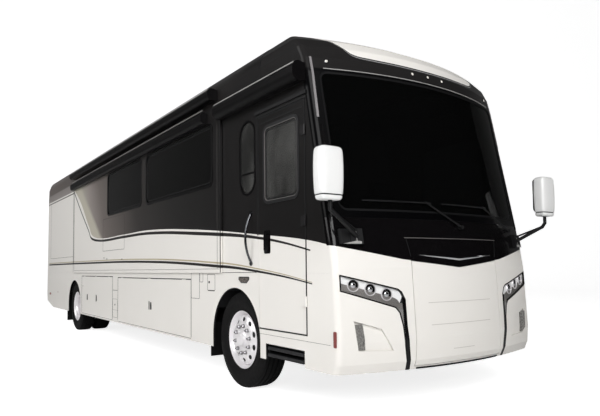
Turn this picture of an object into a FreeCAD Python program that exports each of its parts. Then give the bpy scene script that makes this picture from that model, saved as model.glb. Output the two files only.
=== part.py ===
"""Class A motorhome, built as separate pieces. Millimetres.

+X points forward, +Y to the left, +Z up. The origin lies on the ground, under the centre of the
overall box. Stations along the body are measured from the front axle, positive forwards, and the
function st() turns a station into an X of the frame.
"""

import FreeCAD, Part
from FreeCAD import Vector
from math import cos, pi, radians, sin, sqrt
import os

# ---- overall sizes
length = 11900.0            # nose to rear bumper
width = 2580.0              # over the side walls
front_overhang = 1860.0     # front axle to nose
rear_overhang = 3030.0      # rear axle to bumper
wheelbase = length - front_overhang - rear_overhang
tyre_radius = 495.0
skirt_bottom = 370.0        # underside of the lower panels
floor_top = 2 * tyre_radius + 210.0     # living floor
floor_thick = 60.0
roof_top = 3460.0
wall_top = roof_top - 380.0     # seam between side wall and roof moulding
roof_edge_radius = 225.0
wall_thick = 45.0
skirt_thick = 25.0
roof_thick = 45.0
cap_thick = 40.0            # moulded front and rear caps
seam = 0.3                  # gap between fixed panels
door_gap = 6.0              # gap round anything that opens
touch = 0.3                 # gap between curved pieces that seat on each other

half = width / 2
front_axle_x = length / 2 - front_overhang
rear_axle_x = front_axle_x - wheelbase
rear_x = -length / 2


def st(station):
    """X of a station measured forwards from the front axle."""
    return front_axle_x + station


# ---- stations of the body panels, from the front axle
cap_seam = front_overhang - 300.0       # front cap to side wall, below the windscreen
cap_seam_top = front_overhang - 671.0   # the same seam at the top of the wall
cap_seam_knee = floor_top + 50.0        # height where that seam starts to lean back
brow_back = front_overhang - 1360.0     # back edge of the front cap's roof part
rear_cap_depth = 420.0
slide_rear, slide_front = -(wheelbase + 10.0), -340.0
slide_bottom, slide_top = floor_top + 6.0, wall_top - 40.0
slide_travel = 650.0
slide_depth = 720.0
slide_wall = 40.0
flange_lap = 32.0           # the slide's outer panel laps the wall round the opening
flange_thick = 20.0

# ---- wheels and tyres
tyre_width = 275.0
bead_radius = 286.0         # 22.5 inch bead seat
rim_flange_radius = 298.5
rim_width, rim_lip = 232.0, 14.0
track_inset = 42.0          # outer sidewall inside the body side
dual_spacing = 330.0
kingpin_inset = 160.0       # kingpin inboard of the wheel's middle plane
wheel_y = half - track_inset - tyre_width / 2
inner_wheel_y = wheel_y - dual_spacing
kingpin_y = wheel_y - kingpin_inset
arch_top = 2 * tyre_radius + 45.0       # crown of the wheel arches
arch_rise = tyre_radius + 25.0          # from the arches' spring line to their crown
front_arch_back, front_arch_front = -tyre_radius - 67.0, tyre_radius - 33.0
rear_arch_half = tyre_radius + 25.0
departure_station, departure_rise = front_overhang - length + 940.0, 0.2

# ---- chassis
rail_y = 430.0              # outer face of each frame rail
rail_height, rail_flange, rail_web = 255.0, 75.0, 9.0
rail_top = floor_top - floor_thick
rail_bottom = rail_top - rail_height
bulkhead = cap_seam - 20    # station of the front bulkhead
beyond = 2000.0             # reach of a cutter that has to clear the whole body

# ---- front cap: height, setback of the nose at the centre line, radius of the bow across
cap_form = (
    (skirt_bottom, 45.0, 4200.0),
    (450.0, 12.0, 4200.0),
    (620.0, 0.0, 4200.0),
    (1230.0, 35.0, 4200.0),
    (1450.0, 60.0, 4000.0),
    (1720.0, 105.0, 3800.0),
    (wall_top - 120.0, 332.0, 3400.0),
    (wall_top + 20.0, 370.0, 3400.0),
    (roof_top - 240.0, 432.0, 3400.0),
    (roof_top - 140.0, 532.0, 3400.0),
    (roof_top - 65.0, 672.0, 3400.0),
    (roof_top - 22.0, 820.0, 3400.0),
    (roof_top, 1000.0, 3400.0),
)
CAP_SECTIONS = [(z, front_overhang - setback, bow) for z, setback, bow in cap_form]
nose_corner_radius = 60.0
band_top = 1650.0
screen_bottom, screen_top, screen_half = 1715.0, wall_top - 125.0, half - 108.0
screen_corner = 70.0
glass_thick = 8.0


# ---------------------------------------------------------------- small makers
def box(x0, x1, y0, y1, z0, z1):
    return Part.makeBox(x1 - x0, y1 - y0, z1 - z0, Vector(x0, y0, z0))


def prism(points, direction):
    """Closed polygon extruded along a vector."""
    corners = [Vector(*p) for p in points]
    wire = Part.makePolygon(corners + corners[:1])
    return Part.Face(wire).extrude(Vector(*direction))


def side_prism(points, y0, y1):
    """Outline given as (x, z), extruded across from y0 to y1."""
    return prism([(x, y0, z) for x, z in points], (0, y1 - y0, 0))


def end_prism(points, x0, x1):
    """Outline given as (y, z), extruded along from x0 to x1."""
    return prism([(x0, y, z) for y, z in points], (x1 - x0, 0, 0))


def rounded_wire(u0, u1, v0, v1, r, place):
    """Rounded rectangle in two coordinates; place(u, v) gives the point in space."""
    r = min(r, (u1 - u0) / 2 - 0.5, (v1 - v0) / 2 - 0.5)
    k = r * (1 - sqrt(0.5))
    line = lambda a, b: Part.LineSegment(place(*a), place(*b)).toShape()
    arc = lambda a, m, b: Part.Arc(place(*a), place(*m), place(*b)).toShape()
    return Part.Wire([
        line((u0 + r, v0), (u1 - r, v0)),
        arc((u1 - r, v0), (u1 - k, v0 + k), (u1, v0 + r)),
        line((u1, v0 + r), (u1, v1 - r)),
        arc((u1, v1 - r), (u1 - k, v1 - k), (u1 - r, v1)),
        line((u1 - r, v1), (u0 + r, v1)),
        arc((u0 + r, v1), (u0 + k, v1 - k), (u0, v1 - r)),
        line((u0, v1 - r), (u0, v0 + r)),
        arc((u0, v0 + r), (u0 + k, v0 + k), (u0 + r, v0)),
    ])


def side_slab(x0, x1, z0, z1, r, y0, y1):
    """Rounded plate standing along X, from y0 to y1."""
    wire = rounded_wire(x0, x1, z0, z1, r, lambda x, z: Vector(x, y0, z))
    return Part.Face(wire).extrude(Vector(0, y1 - y0, 0))


def end_slab(y0, y1, z0, z1, r, x0, x1):
    """Rounded plate standing across, from x0 to x1."""
    wire = rounded_wire(y0, y1, z0, z1, r, lambda y, z: Vector(x0, y, z))
    return Part.Face(wire).extrude(Vector(x1 - x0, 0, 0))


def flat_slab(x0, x1, y0, y1, r, z0, z1):
    """Rounded plate lying flat, from z0 to z1."""
    wire = rounded_wire(x0, x1, y0, y1, r, lambda x, y: Vector(x, y, z0))
    return Part.Face(wire).extrude(Vector(0, 0, z1 - z0))


def rod(start, end, radius):
    a, b = Vector(*start), Vector(*end)
    return Part.makeCylinder(radius, (b - a).Length, a, b - a)


def turned(profile, x, z):
    """Solid of revolution about a line along Y through (x, z). Profile points are (y, radius)."""
    points = [Vector(x, y, z + r) for y, r in profile]
    face = Part.Face(Part.makePolygon(points + points[:1]))
    return face.revolve(Vector(x, 0, z), Vector(0, 1, 0), 360)


def mirrored(shape):
    return shape.mirror(Vector(0, 0, 0), Vector(0, 1, 0))


def fused(shapes):
    first, *rest = shapes
    return first.fuse(rest).removeSplitter() if rest else first


def together(shapes):
    """Solids of one node that don't touch."""
    return Part.makeCompound([s for shape in shapes for s in shape.Solids])


nodes = {}


def keep(name, *shapes):
    nodes[name] = together(shapes)


# ---------------------------------------------------------------- chassis
buffer_y = 300.0            # rubber stops behind the front hood and the engine door
hood_thick = 28.0           # front hood and engine door
bulkhead_thick = 15.0


def make_frame():
    front, back = st(bulkhead), rear_x + 260.0
    rails = []
    for side in (-1, 1):
        outer = side * rail_y
        web = sorted((outer, outer - side * rail_web))
        flange = sorted((outer, outer - side * rail_flange))
        rails += [
            box(back, front, *web, rail_bottom, rail_top),
            box(back, front, *flange, rail_bottom, rail_bottom + rail_web),
            box(back, front, *flange, rail_top - rail_web, rail_top),
        ]
    inside = rail_y - rail_web / 2
    cross_height = 150.0
    between_axles = [-share * wheelbase for share in (0.21, 0.51, 0.8)]
    for station in [bulkhead - 140.0, 300.0] + between_axles + [-wheelbase - 690.0]:
        x = st(station)
        rails.append(box(x - 40, x + 40, -inside, inside, rail_bottom + 40, rail_bottom + 40 + cross_height))
    rails.append(box(back, back + 90, -inside, inside, rail_bottom, rail_top))
    receiver_half, receiver_wall = 38.0, 7.0
    z = rail_bottom - receiver_half - 20
    tube = box(rear_x + 40, back + 260, -receiver_half, receiver_half, z - receiver_half, z + receiver_half)
    bore = receiver_half - receiver_wall
    tube = tube.cut(box(rear_x, back + 200, -bore, bore, z - bore, z + bore))
    plate_y, plate_half, plate_end = 60.0, 20.0, back + 260
    plates = [
        box(back, plate_end, y - plate_half, y + plate_half, z - receiver_half, rail_bottom + 60)
        for y in (-plate_y, plate_y)
    ]
    joiner = box(back, plate_end, -plate_y, plate_y, z + receiver_half - 1, z + receiver_half + 21)
    wall_half = half - 110.0
    wall = box(front, front + bulkhead_thick, -wall_half, wall_half, 620, band_top - 90)
    wall = wall.common(cap_solid(cap_thick + touch))
    hood_back, door_back = cap_solid(hood_thick + touch), rear_solid(hood_thick + touch)
    buffers = []
    for y in (-buffer_y, buffer_y):
        buffers.append(rod((front, y, 700), (st(front_overhang), y, 700), 15.0).common(hood_back))
        buffers.append(rod((rear_x, y, 1000), (back + 40, y, 1000), 15.0).common(door_back))
    keep("chassis_frame", fused(rails + [tube, joiner, wall] + plates + buffers))


axle_beam_drop = 70.0
kingpin_radius = 22.0
kingpin_boss_radius, kingpin_boss_half = 48.0, 62.0
ear_thick = 34.0
pin_clearance = 0.5
spindle_radius = 38.0
spring_radius = 125.0
spring_y = rail_y - 100.0


def make_front_axle():
    x, z = front_axle_x, tyre_radius
    drop_y = 560.0
    outline = [
        (-kingpin_y, z - 40), (-drop_y - 120, z - 40), (-drop_y, z - axle_beam_drop - 50),
        (drop_y, z - axle_beam_drop - 50), (drop_y + 120, z - 40), (kingpin_y, z - 40),
        (kingpin_y, z + 40), (drop_y + 90, z + 40), (drop_y - 30, z - axle_beam_drop + 40),
        (-drop_y + 30, z - axle_beam_drop + 40), (-drop_y - 90, z + 40), (-kingpin_y, z + 40),
    ]
    parts = [end_prism(outline, x - 45, x + 45)]
    spring_top = rail_bottom
    for side in (-1, 1):
        y = side * kingpin_y
        parts.append(rod((x, y, z - kingpin_boss_half), (x, y, z + kingpin_boss_half), kingpin_boss_radius))
        reach = kingpin_boss_half + ear_thick + 8
        parts.append(rod((x, y, z - reach), (x, y, z + reach), kingpin_radius))
        seat_y = side * spring_y
        parts.append(box(x - 330, x + 60, seat_y - 60, seat_y + 60, z - 40, z + 25))
        parts.append(rod((x - 250, seat_y, z + 25), (x - 250, seat_y, spring_top), spring_radius))
    keep("front_axle", fused(parts))


def make_rear_axle():
    x, z = rear_axle_x, tyre_radius
    tube_radius = 75.0
    bowl = [(40, 205), (125, 165), (170, 80), (170, 0)]
    differential = [(-y, radius) for y, radius in reversed(bowl)] + bowl
    parts = [
        rod((x, -inner_wheel_y + 180, z), (x, inner_wheel_y - 180, z), tube_radius),
        rod((x, -wheel_y + 60, z), (x, wheel_y - 60, z), spindle_radius + 14),
        turned(differential, x, z),
        rod((x, 0, z), (x - 300, 0, z), tube_radius),
    ]
    for side in (-1, 1):
        seat_y = side * spring_y
        for reach in (-420.0, 420.0):
            low, high = sorted((x, x + reach))
            parts.append(box(low - 60, high + 60, seat_y - 45, seat_y + 45, z - 30, z + 30))
            parts.append(rod((x + reach, seat_y, z + 30), (x + reach, seat_y, rail_bottom), spring_radius))
    keep("rear_axle", fused(parts))


engine_back, engine_front = rear_x + 560.0, rear_x + 1600.0
engine_half = 340.0
tank_front = -740.0


def make_powertrain():
    """The engine is one plain block; gearbox, shaft and exhaust show from below."""
    block_bottom = 430.0
    block = box(engine_back, engine_front, -engine_half, engine_half, block_bottom, rail_top)
    z = tyre_radius
    gearbox_length = 720.0
    gearbox_front = engine_front + gearbox_length
    axis_z = tyre_radius + 145.0
    shaft_end = rear_axle_x - 300.0
    forward = Vector(1, 0, 0)
    gearbox = Part.makeCone(290.0, 170.0, gearbox_length, Vector(engine_front, 0, axis_z), forward)
    shaft = rod((gearbox_front, 0, axis_z), (shaft_end, 0, z), 55.0)
    trimmed = shaft.common(box(gearbox_front - 100, shaft_end, -200, 200, 0, rail_top))
    keep("powertrain", fused([block, gearbox, trimmed]))
    tank_half = half - 240.0
    tank = box(st(-1070.0), st(tank_front), -tank_half, tank_half, 520.0, rail_bottom)
    keep("fuel_tank", tank.makeFillet(45.0, [e for e in tank.Edges if abs(e.tangentAt(0).y) > 0.9]))
    y, silencer_z, pipe_z = engine_half + 300.0, 600.0, 475.0
    silencer = rod((engine_front + 150, y, silencer_z), (engine_front - 900, y, silencer_z), 140.0)
    pipe = rod((engine_front - 880, y, pipe_z), (rear_x + 60, y, pipe_z), 50.0)
    outlet = rod((rear_x, y, pipe_z), (rear_x + 300, y, pipe_z), 44.0)
    hanger_x = engine_front - 400
    hanger = box(hanger_x, hanger_x + 60, engine_half, y - 80, silencer_z - 15, silencer_z + 15)
    keep("exhaust", fused([silencer, pipe, hanger]).cut(outlet))


# ---------------------------------------------------------------- wheels
def tyre(mid_y):
    w, r = tyre_width / 2, tyre_radius
    bead, flange = rim_width / 2 - rim_lip - touch, rim_width / 2 + 4
    profile = [
        (-bead, bead_radius), (-bead, rim_flange_radius + touch), (-flange, rim_flange_radius + touch),
        (-w + 6, r - 150), (-w, r - 105),
        (-w + 8, r - 55), (-w + 26, r - 16), (-w + 46, r - 4), (0, r),
    ]
    profile += [(-y, radius) for y, radius in reversed(profile[:-1])]
    return turned([(mid_y + y, radius) for y, radius in profile], 0, 0)


def rim(mid_y, facing, disc_face, dish):
    """Drop-centre rim. The disc's face and the depth where it meets the barrel are measured outwards."""
    w, seat_radius = rim_width / 2, bead_radius - touch
    outer = [
        (-w, rim_flange_radius), (-w + rim_lip, rim_flange_radius), (-w + rim_lip, seat_radius),
        (-w + 50, seat_radius), (-w + 70, 252), (w - 70, 252), (w - 50, seat_radius),
        (w - rim_lip, seat_radius), (w - rim_lip, rim_flange_radius), (w, rim_flange_radius),
    ]
    inner = [(w, 270), (w - 60, 240), (-w + 60, 240), (-w, 270)]
    barrel = turned([(mid_y + facing * y, radius) for y, radius in outer + inner], 0, 0)
    disc_profile = [
        (dish, 262), (disc_face, 165), (disc_face, hub_radius), (disc_face - disc_thick, hub_radius),
        (disc_face - disc_thick, 165), (dish - disc_thick, 262),
    ]
    disc = turned([(mid_y + facing * y, radius) for y, radius in disc_profile], 0, 0)
    hole_ring, hole_radius, holes = 209.0, 24.0, 10
    for i in range(holes):
        angle = 2 * pi * i / holes
        x, z = hole_ring * cos(angle), hole_ring * sin(angle)
        disc = disc.cut(rod((x, mid_y - 250, z), (x, mid_y + 250, z), hole_radius))
    return fused([barrel, disc])


def hub(y_in, y_out, bore_end, radius, cap_radius, bore):
    """Hub drum closed at its outer end. Given along Y, from the inner to the outer face."""
    step = 1 if y_out > y_in else -1
    body = rod((0, y_in, 0), (0, y_out, 0), radius)
    cap = rod((0, y_out, 0), (0, y_out + step * 42, 0), cap_radius)
    hole = rod((0, y_in - step, 0), (0, bore_end, 0), bore)
    return body.fuse(cap).removeSplitter().cut(hole)


disc_thick, hub_radius = 16.0, 100.0
front_disc, front_dish = 112.0, 84.0        # front disc stands out; the rear ones meet back to back
rear_disc, rear_dish = disc_thick - dual_spacing / 2, -75.0
hub_bore_front, hub_bore_rear = spindle_radius + pin_clearance, spindle_radius + 14 + pin_clearance


def make_wheels():
    for name, side in (("right", -1), ("left", 1)):
        y = side * wheel_y
        place = Vector(front_axle_x, 0, tyre_radius)
        disc_y = y + side * front_disc
        wheel_hub = hub(y - side * 44, disc_y + side * 8, disc_y - side * 20, 118.0, 72.0, hub_bore_front)
        steel = fused([rim(y, side, front_disc, front_dish), wheel_hub])
        steel.translate(place)
        rubber = tyre(y)
        rubber.translate(place)
        keep(f"front_wheel_{name}", steel)
        keep(f"front_tyre_{name}", rubber)
        inner = side * inner_wheel_y
        place = Vector(rear_axle_x, 0, tyre_radius)
        face = y + side * rear_disc
        drum = rod((0, inner - side * 20, 0), (0, face, 0), 125.0)
        drum = drum.fuse(rod((0, face - side, 0), (0, y + side * 30, 0), 92.0))
        drum = drum.fuse(rod((0, y + side * 29, 0), (0, y + side * 62, 0), 60.0)).removeSplitter()
        bore = rod((0, inner - side * 30, 0), (0, side * (wheel_y - 50), 0), hub_bore_rear)
        rims = [rim(y, side, rear_disc, rear_dish), rim(inner, -side, rear_disc, rear_dish)]
        steel = fused(rims + [drum.cut(bore)])
        steel.translate(place)
        rubber = together([tyre(y), tyre(inner)])
        rubber.translate(place)
        keep(f"rear_wheels_{name}", steel)
        keep(f"rear_tyres_{name}", rubber)


arm_reach, arm_y = 190.0, kingpin_y     # steering arms run straight back, so both wheels steer alike
tie_rod_radius, tie_pin_radius = 20.0, 14.0


def make_knuckles():
    """A fork on the kingpin, the spindle, and the steering arm with its pin."""
    z = tyre_radius
    for name, side in (("right", -1), ("left", 1)):
        y = side * kingpin_y
        low = kingpin_boss_half + 2 * pin_clearance
        high = low + ear_thick
        ears = [rod((0, y, z + s * low), (0, y, z + s * high), 52.0) for s in (-1, 1)]
        back_y = y + side * 64.0
        plate = box(-52, 52, *sorted((back_y, back_y + side * 30)), z - high, z + high)
        webs = [
            box(-52, 52, *sorted((y, back_y)), *sorted((z + s * low, z + s * high))) for s in (-1, 1)
        ]
        spindle = rod((0, back_y, z), (0, side * (wheel_y + front_disc - 26), z), spindle_radius)
        shoulder = rod((0, back_y, z), (0, back_y + side * 46, z), 62.0)
        arm_z0, arm_z1 = z - high, z - high + 24
        arm = prism(
            [(-20, y - 40, arm_z0), (-20, y + 40, arm_z0), (-arm_reach - 26, side * arm_y + 24, arm_z0),
             (-arm_reach - 26, side * arm_y - 24, arm_z0)], (0, 0, arm_z1 - arm_z0))
        pin_y = side * arm_y
        pin = rod((-arm_reach, pin_y, arm_z0 - 56), (-arm_reach, pin_y, arm_z0 + 1), tie_pin_radius)
        bore = rod((0, y, z - high - 5), (0, y, z + high + 5), kingpin_radius + pin_clearance)
        knuckle = fused(ears + webs + [plate, shoulder, spindle, arm, pin]).cut(bore)
        knuckle.translate(Vector(front_axle_x, 0, 0))
        keep(f"knuckle_{name}", knuckle)
    low = kingpin_boss_half + 2 * pin_clearance + ear_thick
    eye_top = z - low - 6.0
    eye_bottom = eye_top - 44.0
    x = front_axle_x - arm_reach
    eyes = [rod((x, s * arm_y, eye_bottom), (x, s * arm_y, eye_top), 32.0) for s in (-1, 1)]
    middle_z = (eye_top + eye_bottom) / 2
    bar = rod((x, -arm_y, middle_z), (x, arm_y, middle_z), tie_rod_radius)
    bores = [rod((x, s * arm_y, eye_bottom - 5), (x, s * arm_y, eye_top + 5), tie_pin_radius + pin_clearance)
             for s in (-1, 1)]
    keep("tie_rod", fused(eyes + [bar]).cut(together(bores)))


# ---------------------------------------------------------------- front cap
def plan_wire(z, nose, half_width, bow, corner, back):
    """Outline of the cap at one height: a bowed front between two corner arcs."""
    yc = half_width - corner
    xc = nose - bow + sqrt((bow - corner) ** 2 - yc ** 2)
    bow_x = nose - bow
    scale = bow / (bow - corner)
    touch_x, touch_y = bow_x + (xc - bow_x) * scale, yc * scale
    mid = Vector(xc - bow_x, yc, 0).normalize() + Vector(0, 1, 0)
    mid = mid.normalize() * corner
    p = lambda x, y: Vector(x, y, z)
    line = lambda a, b: Part.LineSegment(a, b).toShape()
    arc = lambda a, m, b: Part.Arc(a, m, b).toShape()
    return Part.Wire([
        line(p(back, -half_width), p(xc, -half_width)),
        arc(p(xc, -half_width), p(xc + mid.x, -yc - mid.y), p(touch_x, -touch_y)),
        arc(p(touch_x, -touch_y), p(nose, 0), p(touch_x, touch_y)),
        arc(p(touch_x, touch_y), p(xc + mid.x, yc + mid.y), p(xc, half_width)),
        line(p(xc, half_width), p(back, half_width)),
        line(p(back, half_width), p(back, -half_width)),
    ])


def roof_half(z, inset=0.0):
    """Half width at a height: upright walls, then the roof's edge radius."""
    start = roof_top - roof_edge_radius
    if z <= start:
        return half - inset
    r = roof_edge_radius
    return half - r + sqrt(max(r * r - (z - start) ** 2, 0)) - inset


def cap_solid(inset=0.0):
    """The cap's outer form, or the same form set in by a thickness."""
    back = st(brow_back) - (200.0 if inset else 0.0)
    corner = nose_corner_radius - inset * 0.9
    wires = [plan_wire(z, st(nose) - inset, roof_half(z, inset), bow - inset, corner, back)
             for z, nose, bow in CAP_SECTIONS]
    return Part.makeLoft(wires, True, True)


def skin_x(y, z, inset=0.0):
    """X of the cap's bowed front surface at a point across and up."""
    for (z0, n0, b0), (z1, n1, b1) in zip(CAP_SECTIONS, CAP_SECTIONS[1:]):
        if z0 <= z <= z1:
            part = (z - z0) / (z1 - z0)
            x0 = n0 - b0 + sqrt(b0 * b0 - y * y)
            x1 = n1 - b1 + sqrt(b1 * b1 - y * y)
            return st(x0 + (x1 - x0) * part) - inset


# outlines on the front, each point as its distance in from the body side and its height
def from_side(points):
    return tuple((half - inward, z) for inward, z in points)


band_edge = from_side(((-10.0, 1418.0), (625.0, 1300.0), (half, 1230.0)))   # top of the white paint
hood_half, hood_bottom = half - 720.0, 400.0
lens_set_in = 3.0           # lamp faces behind the cap's surface
strip_end = skirt_bottom - 20
lamp_outline = from_side((      # the wide lamp, then the strip that runs down to the bumper
    (40.0, 1172), (555.0, 1050), (590.0, 1026), (622.0, 962), (626.0, 744), (640.0, 582), (668.0, strip_end),
    (636.0, strip_end), (602.0, 582), (588.0, 746), (562.0, 852), (524.0, 898), (40.0, 1043),
))
projectors = from_side(((160.0, 1088.0), (308.0, 1052.0), (457.0, 1008.0)))
projector_radius, projector_well = 40.0, 50.0
pocket_outline = from_side(((140.0, 800), (385.0, 728), (490.0, 545), (170.0, 560)))


def outline_prism(points, x0, x1, offset=0.0):
    """Outline given as (y, z) and moved in or out by an offset, extruded along from x0 to x1."""
    corners = [Vector(x0, y, z) for y, z in points]
    wire = Part.makePolygon(corners + corners[:1])
    if offset:
        wire = wire.makeOffset2D(offset, 2)
    return Part.Face(wire).extrude(Vector(x1 - x0, 0, 0))


def both_sides(points, x0, x1):
    right = end_prism([(-y, z) for y, z in points], x0, x1)
    left = end_prism(points, x0, x1)
    return [right, left]


def projector(lamp, y, z):
    """A round well in the lamp's face, with a stepped ring and a domed lens standing in it."""
    step = 5.0
    slope = (skin_x(y + step, z) - skin_x(y - step, z)) / (2 * step)
    out = Vector(1, -slope, 0).normalize()
    face = Vector(skin_x(y, z, lens_set_in), y, z)
    depth, lens_rise = 24.0, 12.0
    floor = face - out * depth
    lamp = lamp.cut(Part.makeCylinder(projector_well, depth + 30.0, floor, out))
    ring, rim_height, root = projector_radius + 6.0, 8.0, -4.0
    corners = [Vector(0, 0, root), Vector(ring, 0, root), Vector(ring, 0, rim_height),
               Vector(projector_radius, 0, rim_height), Vector(projector_radius, 0, 0)]
    crown = Vector(0, 0, lens_rise)
    top = crown + Vector(4.0, 0, 0)
    bulge = Vector(projector_radius * sin(pi / 4), 0, lens_rise * cos(pi / 4))
    section = Part.Wire([
        *Part.makePolygon(corners).Edges,
        Part.Arc(corners[-1], bulge, top).toShape(),
        *Part.makePolygon([top, crown, corners[0]]).Edges,
    ])
    unit = Part.Face(section).revolve(Vector(), Vector(0, 0, 1), 360)
    unit.Placement = FreeCAD.Placement(floor, FreeCAD.Rotation(Vector(0, 0, 1), out))
    return lamp.fuse(unit)


def seam_cut(gap):
    """Space behind the cap's leaning seam, which the side walls and roof fill."""
    outline = [
        (rear_x, 0), (st(cap_seam) + gap, 0), (st(cap_seam) + gap, cap_seam_knee),
        (st(cap_seam_top) + gap, wall_top + gap), (rear_x, wall_top + gap),
    ]
    return side_prism(outline, -beyond, beyond)


def make_front():
    x0, x1 = st(front_overhang - 860.0), st(front_overhang + 340.0)
    outer = cap_solid()
    hollow = cap_solid(cap_thick).common(box(st(0), x1, -beyond, beyond, 0, roof_top - cap_thick))
    shell = outer.cut(hollow).cut(seam_cut(seam))
    upper = shell.common(box(st(0), x1, -beyond, beyond, band_top, roof_top + 10))
    lower = shell.common(box(st(0), x1, -beyond, beyond, 0, band_top - seam))
    screen_hole = end_slab(-screen_half, screen_half, screen_bottom, screen_top, screen_corner, x0, x1)
    keep("windscreen_surround", upper.cut(screen_hole))
    edge = [(-w, z) for w, z in band_edge[:-1]] + [(w, z) for w, z in reversed(band_edge)]
    feet = [(beyond, 0), (-beyond, 0)]
    below = end_prism(edge + feet, x0, x1)
    keep("front_band", lower.cut(below))
    lowered = [(y, z - touch) for y, z in edge]
    cap = lower.common(end_prism(lowered + feet, x0, x1))
    hood_hole = top_pointed(hood_half + door_gap + 2, hood_bottom - door_gap, 0.0)
    cap = cap.cut(end_prism(hood_hole, x0, x1))
    for seat in both_sides(lamp_outline, x0, x1):
        cap = cap.cut(seat)
    pocket_depth = 22.0
    proud = 20.0
    for pocket in both_sides(pocket_outline, x0, x1):
        cap = cap.cut(cap_solid(-proud).common(pocket).cut(cap_solid(pocket_depth)))
    keep("front_cap", cap)
    hood_form = end_prism(top_pointed(hood_half, hood_bottom, door_gap), x0, x1)
    keep("front_hood", outer.common(hood_form).cut(cap_solid(hood_thick)))
    lamp_form = outline_prism(lamp_outline, x0, x1, -touch)
    lamp = cap_solid(lens_set_in).common(lamp_form).cut(cap_solid(cap_thick))
    for y, z in projectors:
        lamp = projector(lamp, y, z)
    keep("headlamps", lamp, mirrored(lamp))
    half_pane = end_slab(-screen_half + touch, screen_half - touch, screen_bottom + touch, screen_top - touch,
                         screen_corner, x0, x1)
    keep("windscreen", cap_solid(4.0).common(half_pane).cut(cap_solid(4.0 + glass_thick)))


def top_pointed(half_width, bottom, drop):
    """Outline across and up under the band's pointed lower edge, lowered by a gap."""
    (w0, z0), (w1, z1) = band_edge[1:]
    top = z1 + (z0 - z1) * half_width / (w0 - w1) - drop
    return [
        (-half_width, top), (0, z1 - drop), (half_width, top), (half_width, bottom), (-half_width, bottom),
    ]


# ---------------------------------------------------------------- mirrors, wipers
mirror_x, mirror_y, mirror_z = st(front_overhang - 85.0), half + 167.0, 1962.0
mirror_height, mirror_width, mirror_depth = 415.0, 235.0, 135.0
mirror_rim = 32.0           # shell left round the glass
foot_inset, foot_z = 200.0, 1490.0      # the arm's foot on the front band
elbow_reach, elbow_z = 100.0, 1640.0
arm_radius = 17.0


def make_mirrors():
    heads, arms = [], []
    pad_height = 38.0
    seat = cap_solid(-touch)
    for side in (-1, 1):
        y = side * mirror_y
        foot_y = side * (half - foot_inset)
        z0 = mirror_z - mirror_height / 2
        wires = []
        for level, grow in ((0.0, 0.82), (0.12, 0.94), (0.5, 1.0), (0.88, 0.95), (1.0, 0.84)):
            w, d = mirror_width * grow / 2, mirror_depth * grow / 2
            place = lambda a, b, z=z0 + mirror_height * level: Vector(mirror_x + a, y + b, z)
            wires.append(rounded_wire(-d, d, -w, w, 42.0, place))
        back = mirror_x - mirror_depth / 2
        glass_seat = end_slab(y - mirror_width / 2 + mirror_rim, y + mirror_width / 2 - mirror_rim,
                              z0 + mirror_rim, z0 + mirror_height - mirror_rim, 24.0, back - 20, back + 12)
        heads.append(Part.makeLoft(wires, True, True).cut(glass_seat))
        foot_x = skin_x(foot_y, foot_z)
        elbow = (mirror_x + 10, side * (half + elbow_reach), elbow_z)
        neck = (mirror_x + 5, y - side * 10, z0 - 70)
        foot = (foot_x + 35, foot_y, foot_z)
        pad_y = sorted((foot_y - side * 50, foot_y + side * 60))
        pad = box(foot_x - 120, foot_x + 120, *pad_y, foot_z - 65, foot_z + 65)
        plate = cap_solid(-pad_height).common(pad)
        ball = Part.makeSphere(arm_radius + 0.5, Vector(*elbow))
        arm = [rod(foot, elbow, arm_radius), ball, rod(elbow, neck, arm_radius),
               rod((neck[0], neck[1], neck[2] - 12), (neck[0], neck[1], z0), arm_radius)]
        brace = rod((foot[0], foot[1], foot[2] + 45), (elbow[0], elbow[1], elbow[2] + 5), 9.0)
        arms.append(fused([plate, brace] + arm).cut(seat))
    keep("mirror_heads", *heads)
    keep("mirror_arms", *arms)


def make_wipers():
    """Two arms parked near the foot of the screen, each with its blade on the glass."""
    wipers = []
    pivot_z, tip_z, blade_joints = band_top - 60.0, screen_bottom + 91.0, 6
    spans = ((60.0, -350.0, -980.0, -270.0), (920.0, 460.0, -140.0, 540.0))
    for pivot_y, tip_y, blade_in, blade_out in spans:
        base_x = skin_x(pivot_y, pivot_z)
        tip_x = skin_x(tip_y, tip_z) + 14
        post = rod((base_x - 20, pivot_y, pivot_z), (base_x + 46, pivot_y, pivot_z), 17.0)
        post = post.cut(cap_solid(-touch))
        arm = rod((base_x + 36, pivot_y, pivot_z), (tip_x + 12, tip_y, tip_z), 8.0)
        ends = []
        for i in range(blade_joints + 1):
            y = blade_in + (blade_out - blade_in) * i / blade_joints
            ends.append(Vector(skin_x(y, tip_z - 6) + 11, y, tip_z - 6))
        blade = fused([rod(a, b, 7.0) for a, b in zip(ends, ends[1:])])
        wipers.append(fused([post, arm, blade]))
    keep("wipers", *wipers)


# ---------------------------------------------------------------- walls, skirts, roof
# windows: rear station, front station, bottom, top, corner radius
slide_windows = (
    (-4580.0, -2870.0, 2190.0, slide_top - 160.0, 60.0),
    (-2650.0, slide_front - 180.0, 2185.0, slide_top - 160.0, 60.0),
)
door_rear, door_front = tyre_radius - 45.0, cap_seam - 320.0
door_bottom, door_top = floor_top - 545.0, wall_top - 365.0
oval_window = (slide_front + 420.0, door_rear - 60.0, 1985.0, wall_top - 340.0, 154.0)
driver_window = (260.0, cap_seam - 390.0, 1900.0, wall_top - 380.0, 90.0)
door_window = (door_rear + 95.0, door_front - 95.0, 1858.0, door_top - 100.0, 80.0)
pane_seat = 8.0             # how far a pane stands in behind the outer face


def window_hole(spec, outer_y, depth, grow=0.0):
    a, b, low, high, r = spec
    return side_slab(st(a) - grow, st(b) + grow, low - grow, high + grow, r + grow,
                     *sorted((outer_y, outer_y + depth)))


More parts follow.
